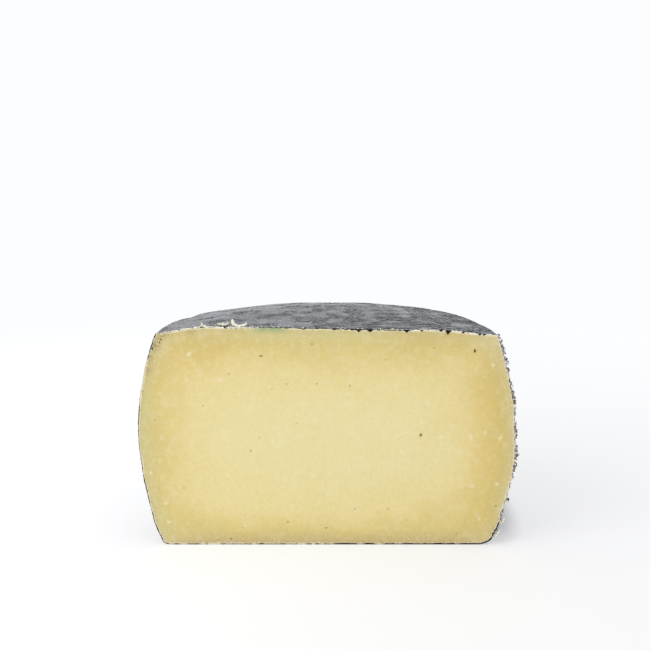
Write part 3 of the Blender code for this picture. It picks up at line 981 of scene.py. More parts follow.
# %% Sizes of the torn bits
# Torn coat on the +X side: height, length along the edge, half thickness, how far it stands out
TORN_RIND = (
    (0.1146, 0.0022, 0.0007, 0.0006), (0.1118, 0.0028, 0.0008, 0.0005),
    (0.1072, 0.0032, 0.0009, 0.0006), (0.1020, 0.0034, 0.0010, 0.0007),
    (0.0972, 0.0014, 0.0006, 0.0006), (0.0862, 0.0104, 0.0007, 0.0004),
    (0.0792, 0.0020, 0.0009, 0.0007), (0.0748, 0.0044, 0.0006, 0.0004),
    (0.0680, 0.0014, 0.0006, 0.0003), (0.0648, 0.0026, 0.0009, 0.0006),
    (0.0610, 0.0024, 0.0008, 0.0006), (0.0553, 0.0020, 0.0008, 0.0008),
    (0.0522, 0.0028, 0.0009, 0.0010), (0.0487, 0.0028, 0.0010, 0.0007),
    (0.0450, 0.0022, 0.0009, 0.0006), (0.0424, 0.0020, 0.0008, 0.0005),
    (0.0388, 0.0016, 0.0006, 0.0003), (0.0266, 0.0026, 0.0010, 0.0008),
    (0.0190, 0.0018, 0.0006, 0.0003), (0.0155, 0.0050, 0.0006, 0.0003),
    (0.0072, 0.0040, 0.0007, 0.0004),
)
# Crumbs: the stretch of the outline, how many, smallest and largest radius, what they are of
CRUMB_ZONES = (
    (0.16, 0.37, 18, 0.0004, 0.0008, "rind"),
    (0.37, 0.63, 42, 0.0004, 0.0010, "paste"),
    (0.63, 0.83, 8, 0.0004, 0.0007, "rind"),
    (0.84, 0.99, 7, 0.0004, 0.0006, "rind"),
    (0.01, 0.16, 8, 0.0004, 0.0006, "rind"),
)
CRUMB_SINK = 0.35
CRUMB_REACH = 0.6
CRUMB_CLUMPING = 1.1
CRUMB_STRETCH = 1.8
CRUMB_SKEW = 0.45
CRUMB_ROUGHNESS = 0.45
CRUMB_SEED = 7
TOP_RINGS = 7
SHOULDER_RINGS = 5
CORNER_RINGS = 4
SIDE_RINGS = 15
BASE_RINGS = 5


# %% Where the torn bits lie
def solid_profile():
    """The solid's own few points, from the middle of the top to the middle of the base."""
    side_top = RIM_HEIGHT - TOP_EDGE_ROUND
    points = [(SHOULDER_START * i / TOP_RINGS, WHEEL_HEIGHT) for i in range(TOP_RINGS)]
    for i in range(SHOULDER_RINGS):
        radius = SHOULDER_START + (FLAT_END - SHOULDER_START) * i / SHOULDER_RINGS
        points.append((radius, top_height(radius)))
    flat_end = (FLAT_END, top_height(FLAT_END))
    side_start = (side_radius(side_top), side_top)
    rim = rounded(flat_end, (RIM_RADIUS, RIM_HEIGHT), side_start, CORNER_RINGS)
    points += [tuple(point) for point in rim]
    for i in range(1, SIDE_RINGS):
        height = side_top + (FOOT_ROUND_UP - side_top) * i / SIDE_RINGS
        points.append((side_radius(height), height))
    foot_top = (side_radius(FOOT_ROUND_UP), FOOT_ROUND_UP)
    foot = rounded(foot_top, (FOOT_RADIUS, 0.0), (BASE_RADIUS, 0.0), CORNER_RINGS)
    points += [tuple(point) for point in foot]
    for i in range(1, BASE_RINGS + 1):
        points.append((BASE_RADIUS * (1 - i / BASE_RINGS), 0.0))
    return points


def solid_outline():
    """The solid's cut outline, from the middle of the base by way of +X and the top."""
    profile = solid_profile()
    right = [uneven(radius, 0.0, height) for radius, height in reversed(profile)]
    left = [uneven(radius, math.pi, height) for radius, height in profile]
    return right + left[1:]


def facing(start, end):
    """The direction out of the cheese for a stretch of the outline."""
    run = (end - start).normalized()
    return Vector((run.z, 0.0, -run.x))


def along(outline, share):
    """The point at a share of the outline's length, and the direction out of the cheese there."""
    lengths = [(b - a).length for a, b in zip(outline, outline[1:])]
    left_to_go = share * sum(lengths)
    for (a, b), length in zip(zip(outline, outline[1:]), lengths):
        if left_to_go <= length:
            return a.lerp(b, left_to_go / length), facing(a, b)
        left_to_go -= length
    return outline[-1], Vector((0.0, 0.0, -1.0))


def at_height(outline, height):
    """The point on the +X side of the outline at a height, and the direction out of the cheese."""
    for a, b in zip(outline, outline[1:]):
        if a.z <= height < b.z:
            return a.lerp(b, (height - a.z) / (b.z - a.z)), facing(a, b)
    return outline[0], Vector((0.0, 0.0, -1.0))


def torn_bits():
    """Every torn bit as its centre, half length, half thickness, lie and stuff."""
    chance = random.Random(CRUMB_SEED)
    outline = solid_outline()
    bits = []
    for height, length, thickness, stand_out in TORN_RIND:
        point, outward = at_height(outline, height)
        lie = math.atan2(-outward.x, -outward.z) + chance.gauss(0.0, CRUMB_SKEW / 2)
        centre = point + outward * stand_out
        bits.append((centre, length / 2 + thickness, thickness, lie, "rind"))
    for start, end, count, smallest, largest, stuff in CRUMB_ZONES:
        for i in range(count):
            step = i + chance.uniform(0.5 - CRUMB_CLUMPING, 0.5 + CRUMB_CLUMPING)
            share = min(max(start + (end - start) * step / count, start), end)
            radius = smallest + (largest - smallest) * chance.random() ** 2
            point, outward = along(outline, share)
            lie = math.atan2(-outward.x, -outward.z) + chance.gauss(0.0, CRUMB_SKEW)
            length = radius * (1.0 + CRUMB_STRETCH * chance.random() ** 2)
            centre = point + outward * radius * chance.uniform(-0.1, CRUMB_REACH)
            bits.append((centre, length, radius, lie, stuff))
    for centre, length, radius, lie, stuff in bits:
        half_height = length * abs(math.sin(lie)) + radius * abs(math.cos(lie))
        centre.y += radius * CRUMB_SINK
        centre.z = max(centre.z, half_height * (1.0 + CRUMB_ROUGHNESS / 2))
    return bits


# %% The torn bits as clusters of flakes
FLAKE_ROUGHNESS = (0.55, 1.6), (0.30, 4.0)
FLAKE_SIZE = (0.32, 0.70)
FLAKE_BREADTHS = (0.45, 0.95)
FLAKE_THICKNESSES = (0.28, 0.6)
FLAKES_LEAST = 5
FLAKES_PER_LENGTH = 3.4
SPREAD_ACROSS = 0.75
SPREAD_BEHIND = 0.6
PASTE_BIT_SHARE = 0.60
LEFT_BIT_SHARE = 0.50
RIGHT_BIT_SINK = 0.00022
# Torn coat is greyer between these heights on the +X side, where draws start at GREYEST.
# No draw of torn coat or crumbs is above PALEST
GREYER = (0.036, 0.066)
GREYEST = 0.3
PALEST = 0.85
# Dark specks of coat pressed into the face: X from the wheel's axis, height and radius
COAT_SPECKS = (
    (-0.0904, 0.1085, 0.00050), (-0.0856, 0.1133, 0.00036), (-0.0865, 0.1117, 0.00028),
    (-0.0817, 0.1162, 0.00026), (-0.0838, 0.1154, 0.00018), (-0.0919, 0.1046, 0.00026),
    (-0.0912, 0.1065, 0.00022), (-0.0934, 0.0972, 0.00020), (-0.0935, 0.0954, 0.00022),
    (-0.0960, 0.0857, 0.00024), (-0.0882, 0.1168, 0.00022), (-0.0915, 0.1079, 0.00020),
    (0.0629, 0.1168, 0.00030), (0.0918, 0.0082, 0.00040), (-0.0585, 0.0026, 0.00025),
    (0.0197, 0.0013, 0.00030), (-0.0110, 0.0012, 0.00026), (0.0300, 0.0011, 0.00030),
)
# Tiny flakes along the outline: what of, which side, from and to in height or, on the top and
# base, in X, how many, how far in from the edge, sizes, and the range of their draws
EDGE_FLAKES = (
    ("rind", "left", 0.0740, 0.1165, 34, (0.0001, 0.0020), (0.00008, 0.00022), (0.0, 0.5)),
    ("rind", "top", -0.0880, -0.0720, 10, (0.0003, 0.0022), (0.00008, 0.00020), (0.0, 0.5)),
    ("rind", "left", 0.0030, 0.0700, 30, (0.0000, 0.0003), (0.00010, 0.00020), (0.0, 0.5)),
    ("paste", "right", 0.0040, 0.1150, 110, (-0.0003, 0.0005), (0.00022, 0.00048), (0.0, 0.7)),
    ("rind", "base", -0.0860, 0.0880, 130, (-0.0001, 0.0003), (0.00012, 0.00028), (0.0, 0.6)),
    ("rind", "right", 0.0030, 0.1150, 150, (-0.0005, 0.0004), (0.00018, 0.00046), (0.1, 0.8)),
    ("paste", "right", 0.0040, 0.1150, 260, (-0.0003, 0.0013), (0.00014, 0.00044), (0.0, 1.0)),
    ("paste", "left", 0.0010, 0.0240, 60, (0.0005, 0.0011), (0.00018, 0.00036), (0.0, 1.0)),
    ("paste", "left", 0.0700, 0.1150, 30, (0.0001, 0.0009), (0.00008, 0.00018), (0.0, 0.6)),
    ("paste", "base", -0.0880, 0.0880, 230, (0.0009, 0.0016), (0.00018, 0.00038), (0.0, 1.0)),
)
# Rings of curled coat on the +X side: X from the wheel's axis, height and radius
CURLS = ((0.1004, 0.0533, 0.00085), (0.0995, 0.0430, 0.00065), (0.0922, 0.1082, 0.00075))
CURL_FLAKES = 11
CURL_SIZES = (0.28, 0.40)
# Short stubs that stand off the +X edge: what of, height, how far out, radius and draw
STUBS = (
    ("rind", 0.1096, 0.0009, 0.00046, 0.20), ("rind", 0.1062, 0.0010, 0.00042, 0.34),
    ("rind", 0.1024, 0.0010, 0.00050, 0.10), ("rind", 0.0973, 0.0011, 0.00048, 0.30),
    ("rind", 0.0954, 0.0006, 0.00036, 0.56), ("rind", 0.0786, 0.0008, 0.00040, 0.44),
    ("rind", 0.0726, 0.0006, 0.00036, 0.30), ("rind", 0.0660, 0.0010, 0.00044, 0.40),
    ("rind", 0.0611, 0.0009, 0.00044, 0.15), ("rind", 0.0489, 0.0009, 0.00042, 0.36),
    ("rind", 0.0444, 0.0010, 0.00042, 0.20), ("rind", 0.0400, 0.0006, 0.00036, 0.48),
    ("rind", 0.0268, 0.0012, 0.00050, 0.54), ("rind", 0.0256, 0.0009, 0.00046, 0.60),
    ("rind", 0.0168, 0.0006, 0.00046, 0.10), ("rind", 0.0148, 0.0006, 0.00040, 0.50),
    ("rind", 0.0130, 0.0005, 0.00050, 0.10), ("rind", 0.0026, 0.0005, 0.00040, 0.15),
    ("paste", 0.1110, 0.0007, 0.00036, 0.20), ("paste", 0.1040, 0.0007, 0.00034, 0.40),
    ("paste", 0.0930, 0.0006, 0.00034, 0.30), ("paste", 0.0520, 0.0006, 0.00034, 0.30),
)
# Pale strips at the +X foot: X and height of both ends, and radius
FOOT_STRIPS = (
    (0.0934, 0.0120, 0.0954, 0.0142, 0.00080), (0.0912, 0.0046, 0.0928, 0.0081, 0.00085),
)
STRIP_FLAKES = 8
STUB_FLAKES = 5
STUB_ROOT = 0.0003
STUB_TILT = 0.4
STUB_TAPER = 0.35
# How far round the foot the flakes of a side may go
ROUND_THE_FOOT = 0.006
# How high a bit lies on the top, as a share of its radius
BIT_LIFT = 0.4
BITS_SEED = 11
# A speck's sink and size as shares of its radius
SPECK_SINK = 0.35
SPECK_SIZE = 1.3
# The draws that pick the shade of specks, strips, and bits and crumbs on the top
SPECK_DRAW = 0.1
STRIP_DRAW = 0.2
TOP_BIT_AND_SHADOW_DRAW = 0.2
TOP_CRUMB_DRAW = 0.3
# Dark bits of coat lying on the top by the shavings, partly real bits and partly painted shadow
# of the shavings: X from the wheel's axis, how far behind the cut, and radius
TOP_BITS_AND_SHADOW = (
    (-0.0590, 0.0012, 0.00050), (-0.0600, 0.0026, 0.00035), (-0.0505, 0.0030, 0.00045),
    (-0.0560, 0.0045, 0.00040), (-0.0692, 0.0008, 0.00032), (-0.0300, 0.0016, 0.00030),
)
# Crumbs of paste lying on the top, in the same way
TOP_CRUMBS = (
    (-0.0575, 0.0030, 0.00030), (-0.0518, 0.0048, 0.00042), (-0.0508, 0.0038, 0.00028),
    (-0.0385, 0.0008, 0.00034), (-0.0340, 0.0006, 0.00040), (-0.0322, 0.0010, 0.00026),
    (-0.0560, 0.0028, 0.00036), (-0.0478, 0.0022, 0.00030), (-0.0412, 0.0014, 0.00026),
    (0.0003, 0.0030, 0.00040), (0.0010, 0.0022, 0.00026), (-0.0250, 0.0008, 0.00024),
)


def as_it_shows(centre, length, radius, lie, stuff):
    """A torn bit, made smaller and moved in where only a little of the solid's lump shows."""
    share, inward = 1.0, Vector((-RIGHT_BIT_SINK, 0.0, 0.0))
    if stuff == "paste":
        share, inward = PASTE_BIT_SHARE, Vector((0.0, 0.0, (PASTE_BIT_SHARE - 1.0) * radius))
    elif centre.x < AXIS_X:
        share, inward = LEFT_BIT_SHARE, Vector(((1.0 - LEFT_BIT_SHARE) * radius, 0.0, 0.0))
    return centre + inward, length * share, radius * share, lie, stuff


def unit_ball(detail):
    """The points and faces of an icosphere of radius 1."""
    shape = bmesh.new()
    bmesh.ops.create_icosphere(shape, subdivisions=detail, radius=1.0)
    points = np.array([vertex.co[:] for vertex in shape.verts])
    faces = np.array([[vertex.index for vertex in face.verts] for face in shape.faces])
    shape.free()
    return points, faces


def rough_flake(ball, chance, size):
    """The points of one flake, squashed, roughened and turned at random."""
    offset = Vector((chance.uniform(0.0, 90.0), 0.0, 0.0))
    grow = np.ones(len(ball))
    for amount, scale in FLAKE_ROUGHNESS:
        grow += [amount * noise.noise(Vector(point) * scale + offset) for point in ball]
    squash = np.array([1.0, chance.uniform(*FLAKE_BREADTHS), chance.uniform(*FLAKE_THICKNESSES)])
    turn = Matrix.Identity(3)
    for axis in "XYZ":
        turn = turn @ Matrix.Rotation(chance.uniform(0.0, math.pi), 3, axis)
    return (ball * grow[:, None] * squash * size) @ np.array(turn).T


def cluster(bit, chance):
    """The flakes of one torn bit, as (centre, size) pairs inside the solid's lump."""
    centre, length, radius, lie, _ = bit
    along_bit = Vector((math.cos(lie), 0.0, -math.sin(lie)))
    across_bit = Vector((math.sin(lie), 0.0, math.cos(lie)))
    flakes = []
    for _ in range(FLAKES_LEAST + round(FLAKES_PER_LENGTH * length / radius)):
        size = radius * chance.uniform(*FLAKE_SIZE)
        t = chance.uniform(-1.0, 1.0)
        round_off = math.sqrt(1.0 - t * t) * radius * SPREAD_ACROSS
        place = centre + along_bit * t * (length - size)
        place += across_bit * chance.uniform(-1.0, 1.0) * round_off
        place.y += chance.uniform(-SPREAD_BEHIND, SPREAD_BEHIND) * radius
        place.z = max(place.z, size * 1.2)
        flakes.append((place, size))
    return flakes


def on_rim(side, measured):
    """The outline's point and outward direction at a height or, on the top and base, an X."""
    if side == "base":
        return np.array([AXIS_X + measured, CUT_Y, 0.0]), np.array([0.0, 0.0, -1.0])
    right_foot, right_rim, left_rim, left_foot = CORNERS
    low, high, part = {
        "right": (right_foot - ROUND_THE_FOOT, right_rim, 2),
        "top": (right_rim, left_rim, 0),
        "left": (left_rim, left_foot + ROUND_THE_FOOT, 2),
    }[side]
    near = np.flatnonzero((RIM_TAPE >= low) & (RIM_TAPE <= high))
    wanted = measured if part == 2 else AXIS_X + measured
    index = near[np.argmin(np.abs(RIM[near, part] - wanted))]
    return RIM[index], RIM_OUT[index]


def edge_flakes(side, start, end, count, insets, sizes, draws, chance):
    """Tiny flakes along one side of the outline, as (centre, size, draw)."""
    flakes = []
    for _ in range(count):
        point, outward = on_rim(side, chance.uniform(start, end))
        size = sizes[0] + (sizes[1] - sizes[0]) * chance.random() ** 2
        place = point - outward * chance.uniform(*insets)
        place[1] = CUT_Y - size * chance.uniform(0.0, 0.7)
        place[2] = max(place[2], size * 0.7)
        flakes.append((place, size, chance.uniform(*draws)))
    return flakes


def stub(height, reach, radius, draw, chance):
    """Flakes in a row that lead off the +X edge, as (centre, size, draw)."""
    point, outward = on_rim("right", height)
    tilt = chance.gauss(0.0, STUB_TILT)
    flakes = []
    for step in range(STUB_FLAKES):
        share = step / (STUB_FLAKES - 1)
        away = share * reach - STUB_ROOT
        place = point + outward * away
        place[1] = CUT_Y + radius * chance.uniform(0.0, 0.8)
        place[2] = max(place[2] + tilt * share * reach, radius)
        size = radius * (1.0 - STUB_TAPER * share)
        flakes.append((place, size, draw + 0.05 * chance.gauss(0.0, 1.0)))
    return flakes


# No flake leaves the solid's box
FLAKES_LOW = np.array([cad_low[0] + 0.0001, cad_low[1] + 0.00004, 0.0])
FLAKES_HIGH = np.array([cad_high[0] - 0.00005, cad_high[1], cad_high[2]])
# A flake above this radius starts as a ball of 320 triangles, and a smaller one as one of 80
FINE_FLAKE = 0.00042


def flakes_piece(name, flakes):
    """One piece from (centre, size, draw) flakes. Every point keeps the draw of its flake."""
    chance = random.Random(name)
    coarse, fine = unit_ball(2), unit_ball(3)
    points, faces, draws = [], [], []
    used = 0
    for centre, size, draw in flakes:
        ball, ball_faces = fine if size > FINE_FLAKE else coarse
        points.append(rough_flake(ball, chance, size) + np.array(centre))
        faces.append(ball_faces + used)
        draws.append(np.full(len(ball), draw))
        used += len(ball)
    points = np.vstack(points)
    points = np.clip(points, FLAKES_LOW, FLAKES_HIGH)
    obj = new_piece(name, points, np.vstack(faces).tolist())
    mark(obj, "which", np.concatenate(draws))
    return obj


def on_top(x, behind):
    """A place on the coated top, from X and the distance behind the cut."""
    radius = math.hypot(x, behind)
    return uneven(radius, math.atan2(behind, x), top_height(radius))


bits_chance = random.Random(BITS_SEED)
torn_flakes, crumb_flakes = [], []
flakes_of = {"rind": torn_flakes, "paste": crumb_flakes}
for bit in torn_bits():
    low, high = GREYER
    greyest = GREYEST if bit[0].x > 0.0 and low < bit[0].z < high else 0.0
    for place, size in cluster(as_it_shows(*bit), bits_chance):
        flakes_of[bit[4]].append((place, size, bits_chance.uniform(greyest, PALEST)))
for x, height, radius in COAT_SPECKS:
    place = Vector((AXIS_X + x, CUT_Y - radius * SPECK_SINK, height))
    torn_flakes.append((place, radius * SPECK_SIZE, SPECK_DRAW))
for x, height, radius in CURLS:
    for step in range(CURL_FLAKES):
        turn = 2 * math.pi * step / CURL_FLAKES
        ring_x = AXIS_X + x + math.cos(turn) * radius
        place = Vector((ring_x, CUT_Y, height + math.sin(turn) * radius))
        size = radius * bits_chance.uniform(*CURL_SIZES)
        torn_flakes.append((place, size, 0.3 + 0.3 * step % 0.4))
for stuff, *rest in STUBS:
    flakes_of[stuff] += stub(*rest, bits_chance)
for start_x, start_z, end_x, end_z, radius in FOOT_STRIPS:
    for share in np.linspace(0.0, 1.0, STRIP_FLAKES):
        x = AXIS_X + start_x + share * (end_x - start_x)
        height = start_z + share * (end_z - start_z)
        place = Vector((x, CUT_Y + radius * bits_chance.uniform(0.2, 1.2), height))
        crumb_flakes.append((place, radius * bits_chance.uniform(0.8, 1.2), STRIP_DRAW))
for stuff, *rest in EDGE_FLAKES:
    flakes_of[stuff] += edge_flakes(*rest, bits_chance)
# The dark bits on the top are partly painted shadow beside the shavings
for stuff, rows, draw in (
    ("rind", TOP_BITS_AND_SHADOW, TOP_BIT_AND_SHADOW_DRAW),
    ("paste", TOP_CRUMBS, TOP_CRUMB_DRAW),
):
    for x, behind, radius in rows:
        place = on_top(x, behind) + Vector((0.0, 0.0, radius * BIT_LIFT))
        flakes_of[stuff].append((place, radius, draw))
torn_coat = flakes_piece("torn_coat", torn_flakes)
edge_crumbs = flakes_piece("edge_crumbs", crumb_flakes)
print(len(torn_flakes), "flakes of coat and", len(crumb_flakes), "flakes of paste")

# %% [markdown]
# ## Flecks on the coat
# Small specks of cheese stick to the black coat wherever the cut halves have touched it. They
# lie in loose groups. A few group centres are drawn first, and the specks then fall round them
# with a normal spread, which looks natural where an even spread would look like a pattern.

# %% The flecks
FLECK_GROUPS = 34
FLECK_GROUP_SPREAD = 0.0065
FLECK_SIZES = (0.00010, 0.00045)
FLECK_SEED = 5
TOP_FLECK_SHARE = 0.22
TOP_GROUPS_FROM = 0.030
GROUP_AZIMUTHS = (0.05, 0.95)
FLECKS_IN_GROUP = (2, 14)
FLECK_SINK = 0.2
FLECKS_FROM = 0.010
FLECK_MARGIN = 0.02


def fleck_places():
    """Places for the specks on the coat, each with a size."""
    chance = random.Random(FLECK_SEED)
    places = []
    for _ in range(FLECK_GROUPS):
        on_the_top = chance.random() < TOP_FLECK_SHARE
        span = (TOP_GROUPS_FROM, RIM_START) if on_the_top else (SIDE_START, FOOT_START)
        middle = chance.uniform(*span)
        azimuth = chance.uniform(*GROUP_AZIMUTHS) * math.pi
        for _ in range(chance.randint(*FLECKS_IN_GROUP)):
            tape = middle + chance.gauss(0.0, FLECK_GROUP_SPREAD)
            turned = azimuth + chance.gauss(0.0, FLECK_GROUP_SPREAD) / BELLY_RADIUS
            size = FLECK_SIZES[0] + (FLECK_SIZES[1] - FLECK_SIZES[0]) * chance.random() ** 3
            on_back = FLECK_MARGIN < turned < math.pi - FLECK_MARGIN
            if FLECKS_FROM < tape < FOOT_START and on_back:
                radius, height, out, up = section(tape)
                place = coat(radius, turned, height, out, up)
                outward = Vector((math.cos(turned) * out, math.sin(turned) * out, up))
                place += outward * -FLECK_SINK * size
                places.append((place, size, chance.random()))
    return places


flecks = fleck_places()
coat_flecks = flakes_piece("coat_flecks", flecks)
print("There are", len(flecks), "flecks")

# %% [markdown]
# ## Shavings
# Three curled shavings of paste lie on the top by the cut, where the blade came off. A shaving
# is a thin strip that hooks over at one end. It is a tube with a flat section, led along the
# same bent path as the rod in the solid. Its broad side turns along the way, so the hooked end
# faces forward and the middle lies flat, and noise tears its sides.

# %% Curled strips
# Shavings: X from the axis, how far behind the cut, half span, rise of both ends, thickness
SHAVINGS = (
    (-0.0452, 0.0010, 0.0038, 0.0048, 0.0028, 0.00095),
    (-0.0538, 0.0040, 0.0034, 0.0012, 0.0020, 0.00080),
    (-0.0634, 0.0006, 0.0012, 0.0026, 0.0006, 0.00055),
)
# How each differs from the rod: share of the span and of the rise, then breadth along it
SHAVING_LOOKS = (
    (0.98, 0.82, (0.85, 0.90, 0.70, 0.75, 0.80, 0.65, 0.50)),
    (0.78, 0.85, (0.35, 1.05, 0.70, 1.30, 0.80, 0.60, 0.25)),
    (0.90, 0.80, (0.50, 0.75, 0.80, 1.10, 1.20, 1.00, 0.70)),
)
SHAVING_LEAN = 24.0
SHAVING_BEND = 0.3
SHAVING_FLATNESS = 0.45
SHAVING_STEPS = 40
TUBE_SIDES = 16
# Noise tears a shaving's sides: the share and the scale of a coarse and a fine noise, and how
# far apart the steps along the shaving are in it, and how wide its round section is
TEARS = ((0.90, 1.0), (0.50, 2.7))
TEAR_ALONG = 0.60
TEAR_ROUND = 1.7
FACING_FORWARD = Vector((1.0, 0.25, 0.3))
LYING_FLAT = Vector((0.0, 0.8, 0.8))


def shaving_path(half_span, left_rise, right_rise, count):
    """Points along a curled shaving, its middle at the origin and both ends lifted."""
    points = []
    for i in range(count):
        t = 2.0 * i / (count - 1) - 1.0
        rise = left_rise if t < 0 else right_rise
        across = half_span * math.sin(t * math.pi / 2)
        points.append(Vector((across, SHAVING_BEND * rise * abs(t), rise * t * t)))
    return points


def curled_strip(shape, path, breadths, broad_sides, number):
    """Adds a closed tube with a flat, torn section along a path to a bmesh."""
    rings = []
    for i, point in enumerate(path):
        ahead = path[min(i + 1, len(path) - 1)] - path[max(i - 1, 0)]
        ahead.normalize()
        thin = ahead.cross(broad_sides[i]).normalized()
        broad = thin.cross(ahead).normalized()
        ring = []
        for side in range(TUBE_SIDES):
            turn = 2 * math.pi * side / TUBE_SIDES
            aside, upward = math.cos(turn) * TEAR_ROUND, math.sin(turn) * TEAR_ROUND
            place = Vector((i * TEAR_ALONG, aside, upward + number * 7.0))
            torn = 1.0
            for amount, scale in TEARS:
                torn += amount * noise.noise(place * scale)
            reach = broad * math.cos(turn) + thin * math.sin(turn) * SHAVING_FLATNESS
            ring.append(shape.verts.new(point + reach * breadths[i] * torn))
        rings.append(ring)
    for first, second in zip(rings, rings[1:]):
        for side in range(TUBE_SIDES):
            after = (side + 1) % TUBE_SIDES
            shape.faces.new((first[side], first[after], second[after], second[side]))
    shape.faces.new(list(reversed(rings[0])))
    shape.faces.new(rings[-1])


def add_shavings(shape):
    """Adds every shaving to a bmesh, each on its seat on the top."""
    lean = Matrix.Rotation(math.radians(-SHAVING_LEAN), 3, "X")
    shares = np.linspace(-1.0, 1.0, SHAVING_STEPS)
    for number, (sizes, looks) in enumerate(zip(SHAVINGS, SHAVING_LOOKS)):
        x, behind, half_span, left_rise, right_rise, thickness = sizes
        span_share, rise_share, breadth_shares = looks
        seat = on_top(x, behind) + Vector((0.0, 0.0, thickness * BIT_LIFT))
        rises = left_rise * rise_share, right_rise * rise_share
        bent = shaving_path(half_span * span_share, *rises, SHAVING_STEPS)
        path = [seat + lean @ point for point in bent]
        stations = np.linspace(-1.0, 1.0, len(breadth_shares))
        breadths = np.interp(shares, stations, breadth_shares) * thickness
        breadths *= np.sqrt(np.maximum(1.0 - shares**8, 0.03))
        hooked = np.clip(-shares * 3.0 - 1.5, 0.0, 1.0)
        broad_sides = [LYING_FLAT.lerp(FACING_FORWARD, share) for share in hooked]
        curled_strip(shape, path, breadths, broad_sides, number)


shaving_shape = bmesh.new()
shaving_marks = shaving_shape.verts.layers.float.new("which")
add_shavings(shaving_shape)
bmesh.ops.recalc_face_normals(shaving_shape, faces=shaving_shape.faces)
for vertex in shaving_shape.verts:
    vertex[shaving_marks] = 0.3
shavings_mesh = bpy.data.meshes.new("shavings")
shaving_shape.to_mesh(shavings_mesh)
shaving_shape.free()
shavings_mesh.shade_smooth()
shavings = in_scene("shavings", shavings_mesh)
print("The shavings span", [round(size * 1000, 1) for size in shavings.dimensions], "mm")

# %% [markdown]
# ## Shader groups
# Four effects come back in several materials: soft patches, scattered grains, fine relief and
# worn places. Each is a node group, built once, with named inputs for its sizes. A group gives
# masks and heights only, and the Principled shader stays in each material. All of them read
# object coordinates in metres, so a Scale of 400 makes features of about 2.5 mm.


# %% Node helpers
def shade(red, green, blue):
    """A colour as seen on screen, 0 to 255, turned into the linear values that a shader takes."""
    linear = []
    for value in (red, green, blue):
        share = value / 255.0
        linear.append(share / 12.92 if share <= 0.04045 else ((share + 0.055) / 1.055) ** 2.4)
    return (*linear, 1.0)


def add_node(tree, kind, inputs=None, **settings):
    """A shader node with its settings. An input that is given as a socket is linked."""
    made = tree.nodes.new("ShaderNode" + kind)
    for name, value in settings.items():
        setattr(made, name, value)
    for name, value in (inputs or {}).items():
        if isinstance(value, bpy.types.NodeSocket):
            tree.links.new(value, made.inputs[name])
        else:
            made.inputs[name].default_value = value
    return made


def mix(tree, share, first, second, mode="MIX"):
    """Two colours mixed by a share."""
    inputs = {0: share, 6: first, 7: second}
    return add_node(tree, "Mix", inputs, data_type="RGBA", blend_type=mode).outputs[2]


def maths(tree, operation, first, second=0.0):
    """A sum on one or two numbers."""
    return add_node(tree, "Math", {0: first, 1: second}, operation=operation).outputs[0]


def vector_maths(tree, operation, first, second=(0.0, 0.0, 0.0), output="Vector"):
    """A sum on one or two vectors."""
    return add_node(tree, "VectorMath", {0: first, 1: second}, operation=operation).outputs[output]


def here(tree):
    """The place on the object, in metres."""
    return add_node(tree, "TexCoord").outputs["Object"]


def noise_at(tree, place, scale, detail, output="Fac"):
    """A noise texture at a place."""
    inputs = {"Vector": place, "Scale": scale, "Detail": detail}
    return add_node(tree, "TexNoise", inputs).outputs[output]


def colour_ramp(tree, value, stops):
    """The colour at a value, between stops of (position, colour)."""
    ramp = add_node(tree, "ValToRGB", {0: value})
    elements = ramp.color_ramp.elements
    for index, (position, colour) in enumerate(stops):
        element = elements[index] if index < 2 else elements.new(position)
        element.position = position
        element.color = colour
    return ramp.outputs["Color"]


def ease(tree, value, low, high, start=0.0, end=1.0):
    """A value eased from start to end as it goes from low to high."""
    inputs = {"Value": value, "From Min": low, "From Max": high, "To Min": start, "To Max": end}
    return add_node(tree, "MapRange", inputs, interpolation_type="SMOOTHSTEP").outputs["Result"]


def measure(tree, name):
    """A number that the mesh stores for each point."""
    return add_node(tree, "Attribute", attribute_name=name).outputs["Fac"]


def effect(name, inputs, outputs):
    """An empty node group with named inputs and outputs, and its two end nodes."""
    group = bpy.data.node_groups.new(name, "ShaderNodeTree")
    for label, value in inputs:
        socket = group.interface.new_socket(label, in_out="INPUT", socket_type="NodeSocketFloat")
        socket.default_value = value
    for label in outputs:
        group.interface.new_socket(label, in_out="OUTPUT", socket_type="NodeSocketFloat")
    return group, group.nodes.new("NodeGroupInput"), group.nodes.new("NodeGroupOutput")


def use(tree, group, **inputs):
    """A node group placed in a material. Underscores in the names stand for spaces."""
    values = {name.replace("_", " "): value for name, value in inputs.items()}
    return add_node(tree, "Group", values, node_tree=group).outputs[0]


# %% The four effects
def soft_patches_group():
    """Clouds with a soft edge: more of them as Cover rises."""
    inputs = [("Scale", 100.0), ("Cover", 0.5), ("Softness", 0.2), ("Seed", 0.0)]
    group, given, result = effect("soft_patches", inputs, ["Mask"])
    place = here(group)
    clouds = add_node(
        group,
        "TexNoise",
        {"Vector": place, "W": given.outputs["Seed"], "Scale": given.outputs["Scale"], "Detail": 3.0},
        noise_dimensions="4D",
    ).outputs["Fac"]
    limit = maths(group, "SUBTRACT", 1.0, given.outputs["Cover"])
    low = maths(group, "SUBTRACT", limit, given.outputs["Softness"])
    high = maths(group, "ADD", limit, given.outputs["Softness"])
    group.links.new(ease(group, clouds, low, high), result.inputs["Mask"])
    return group


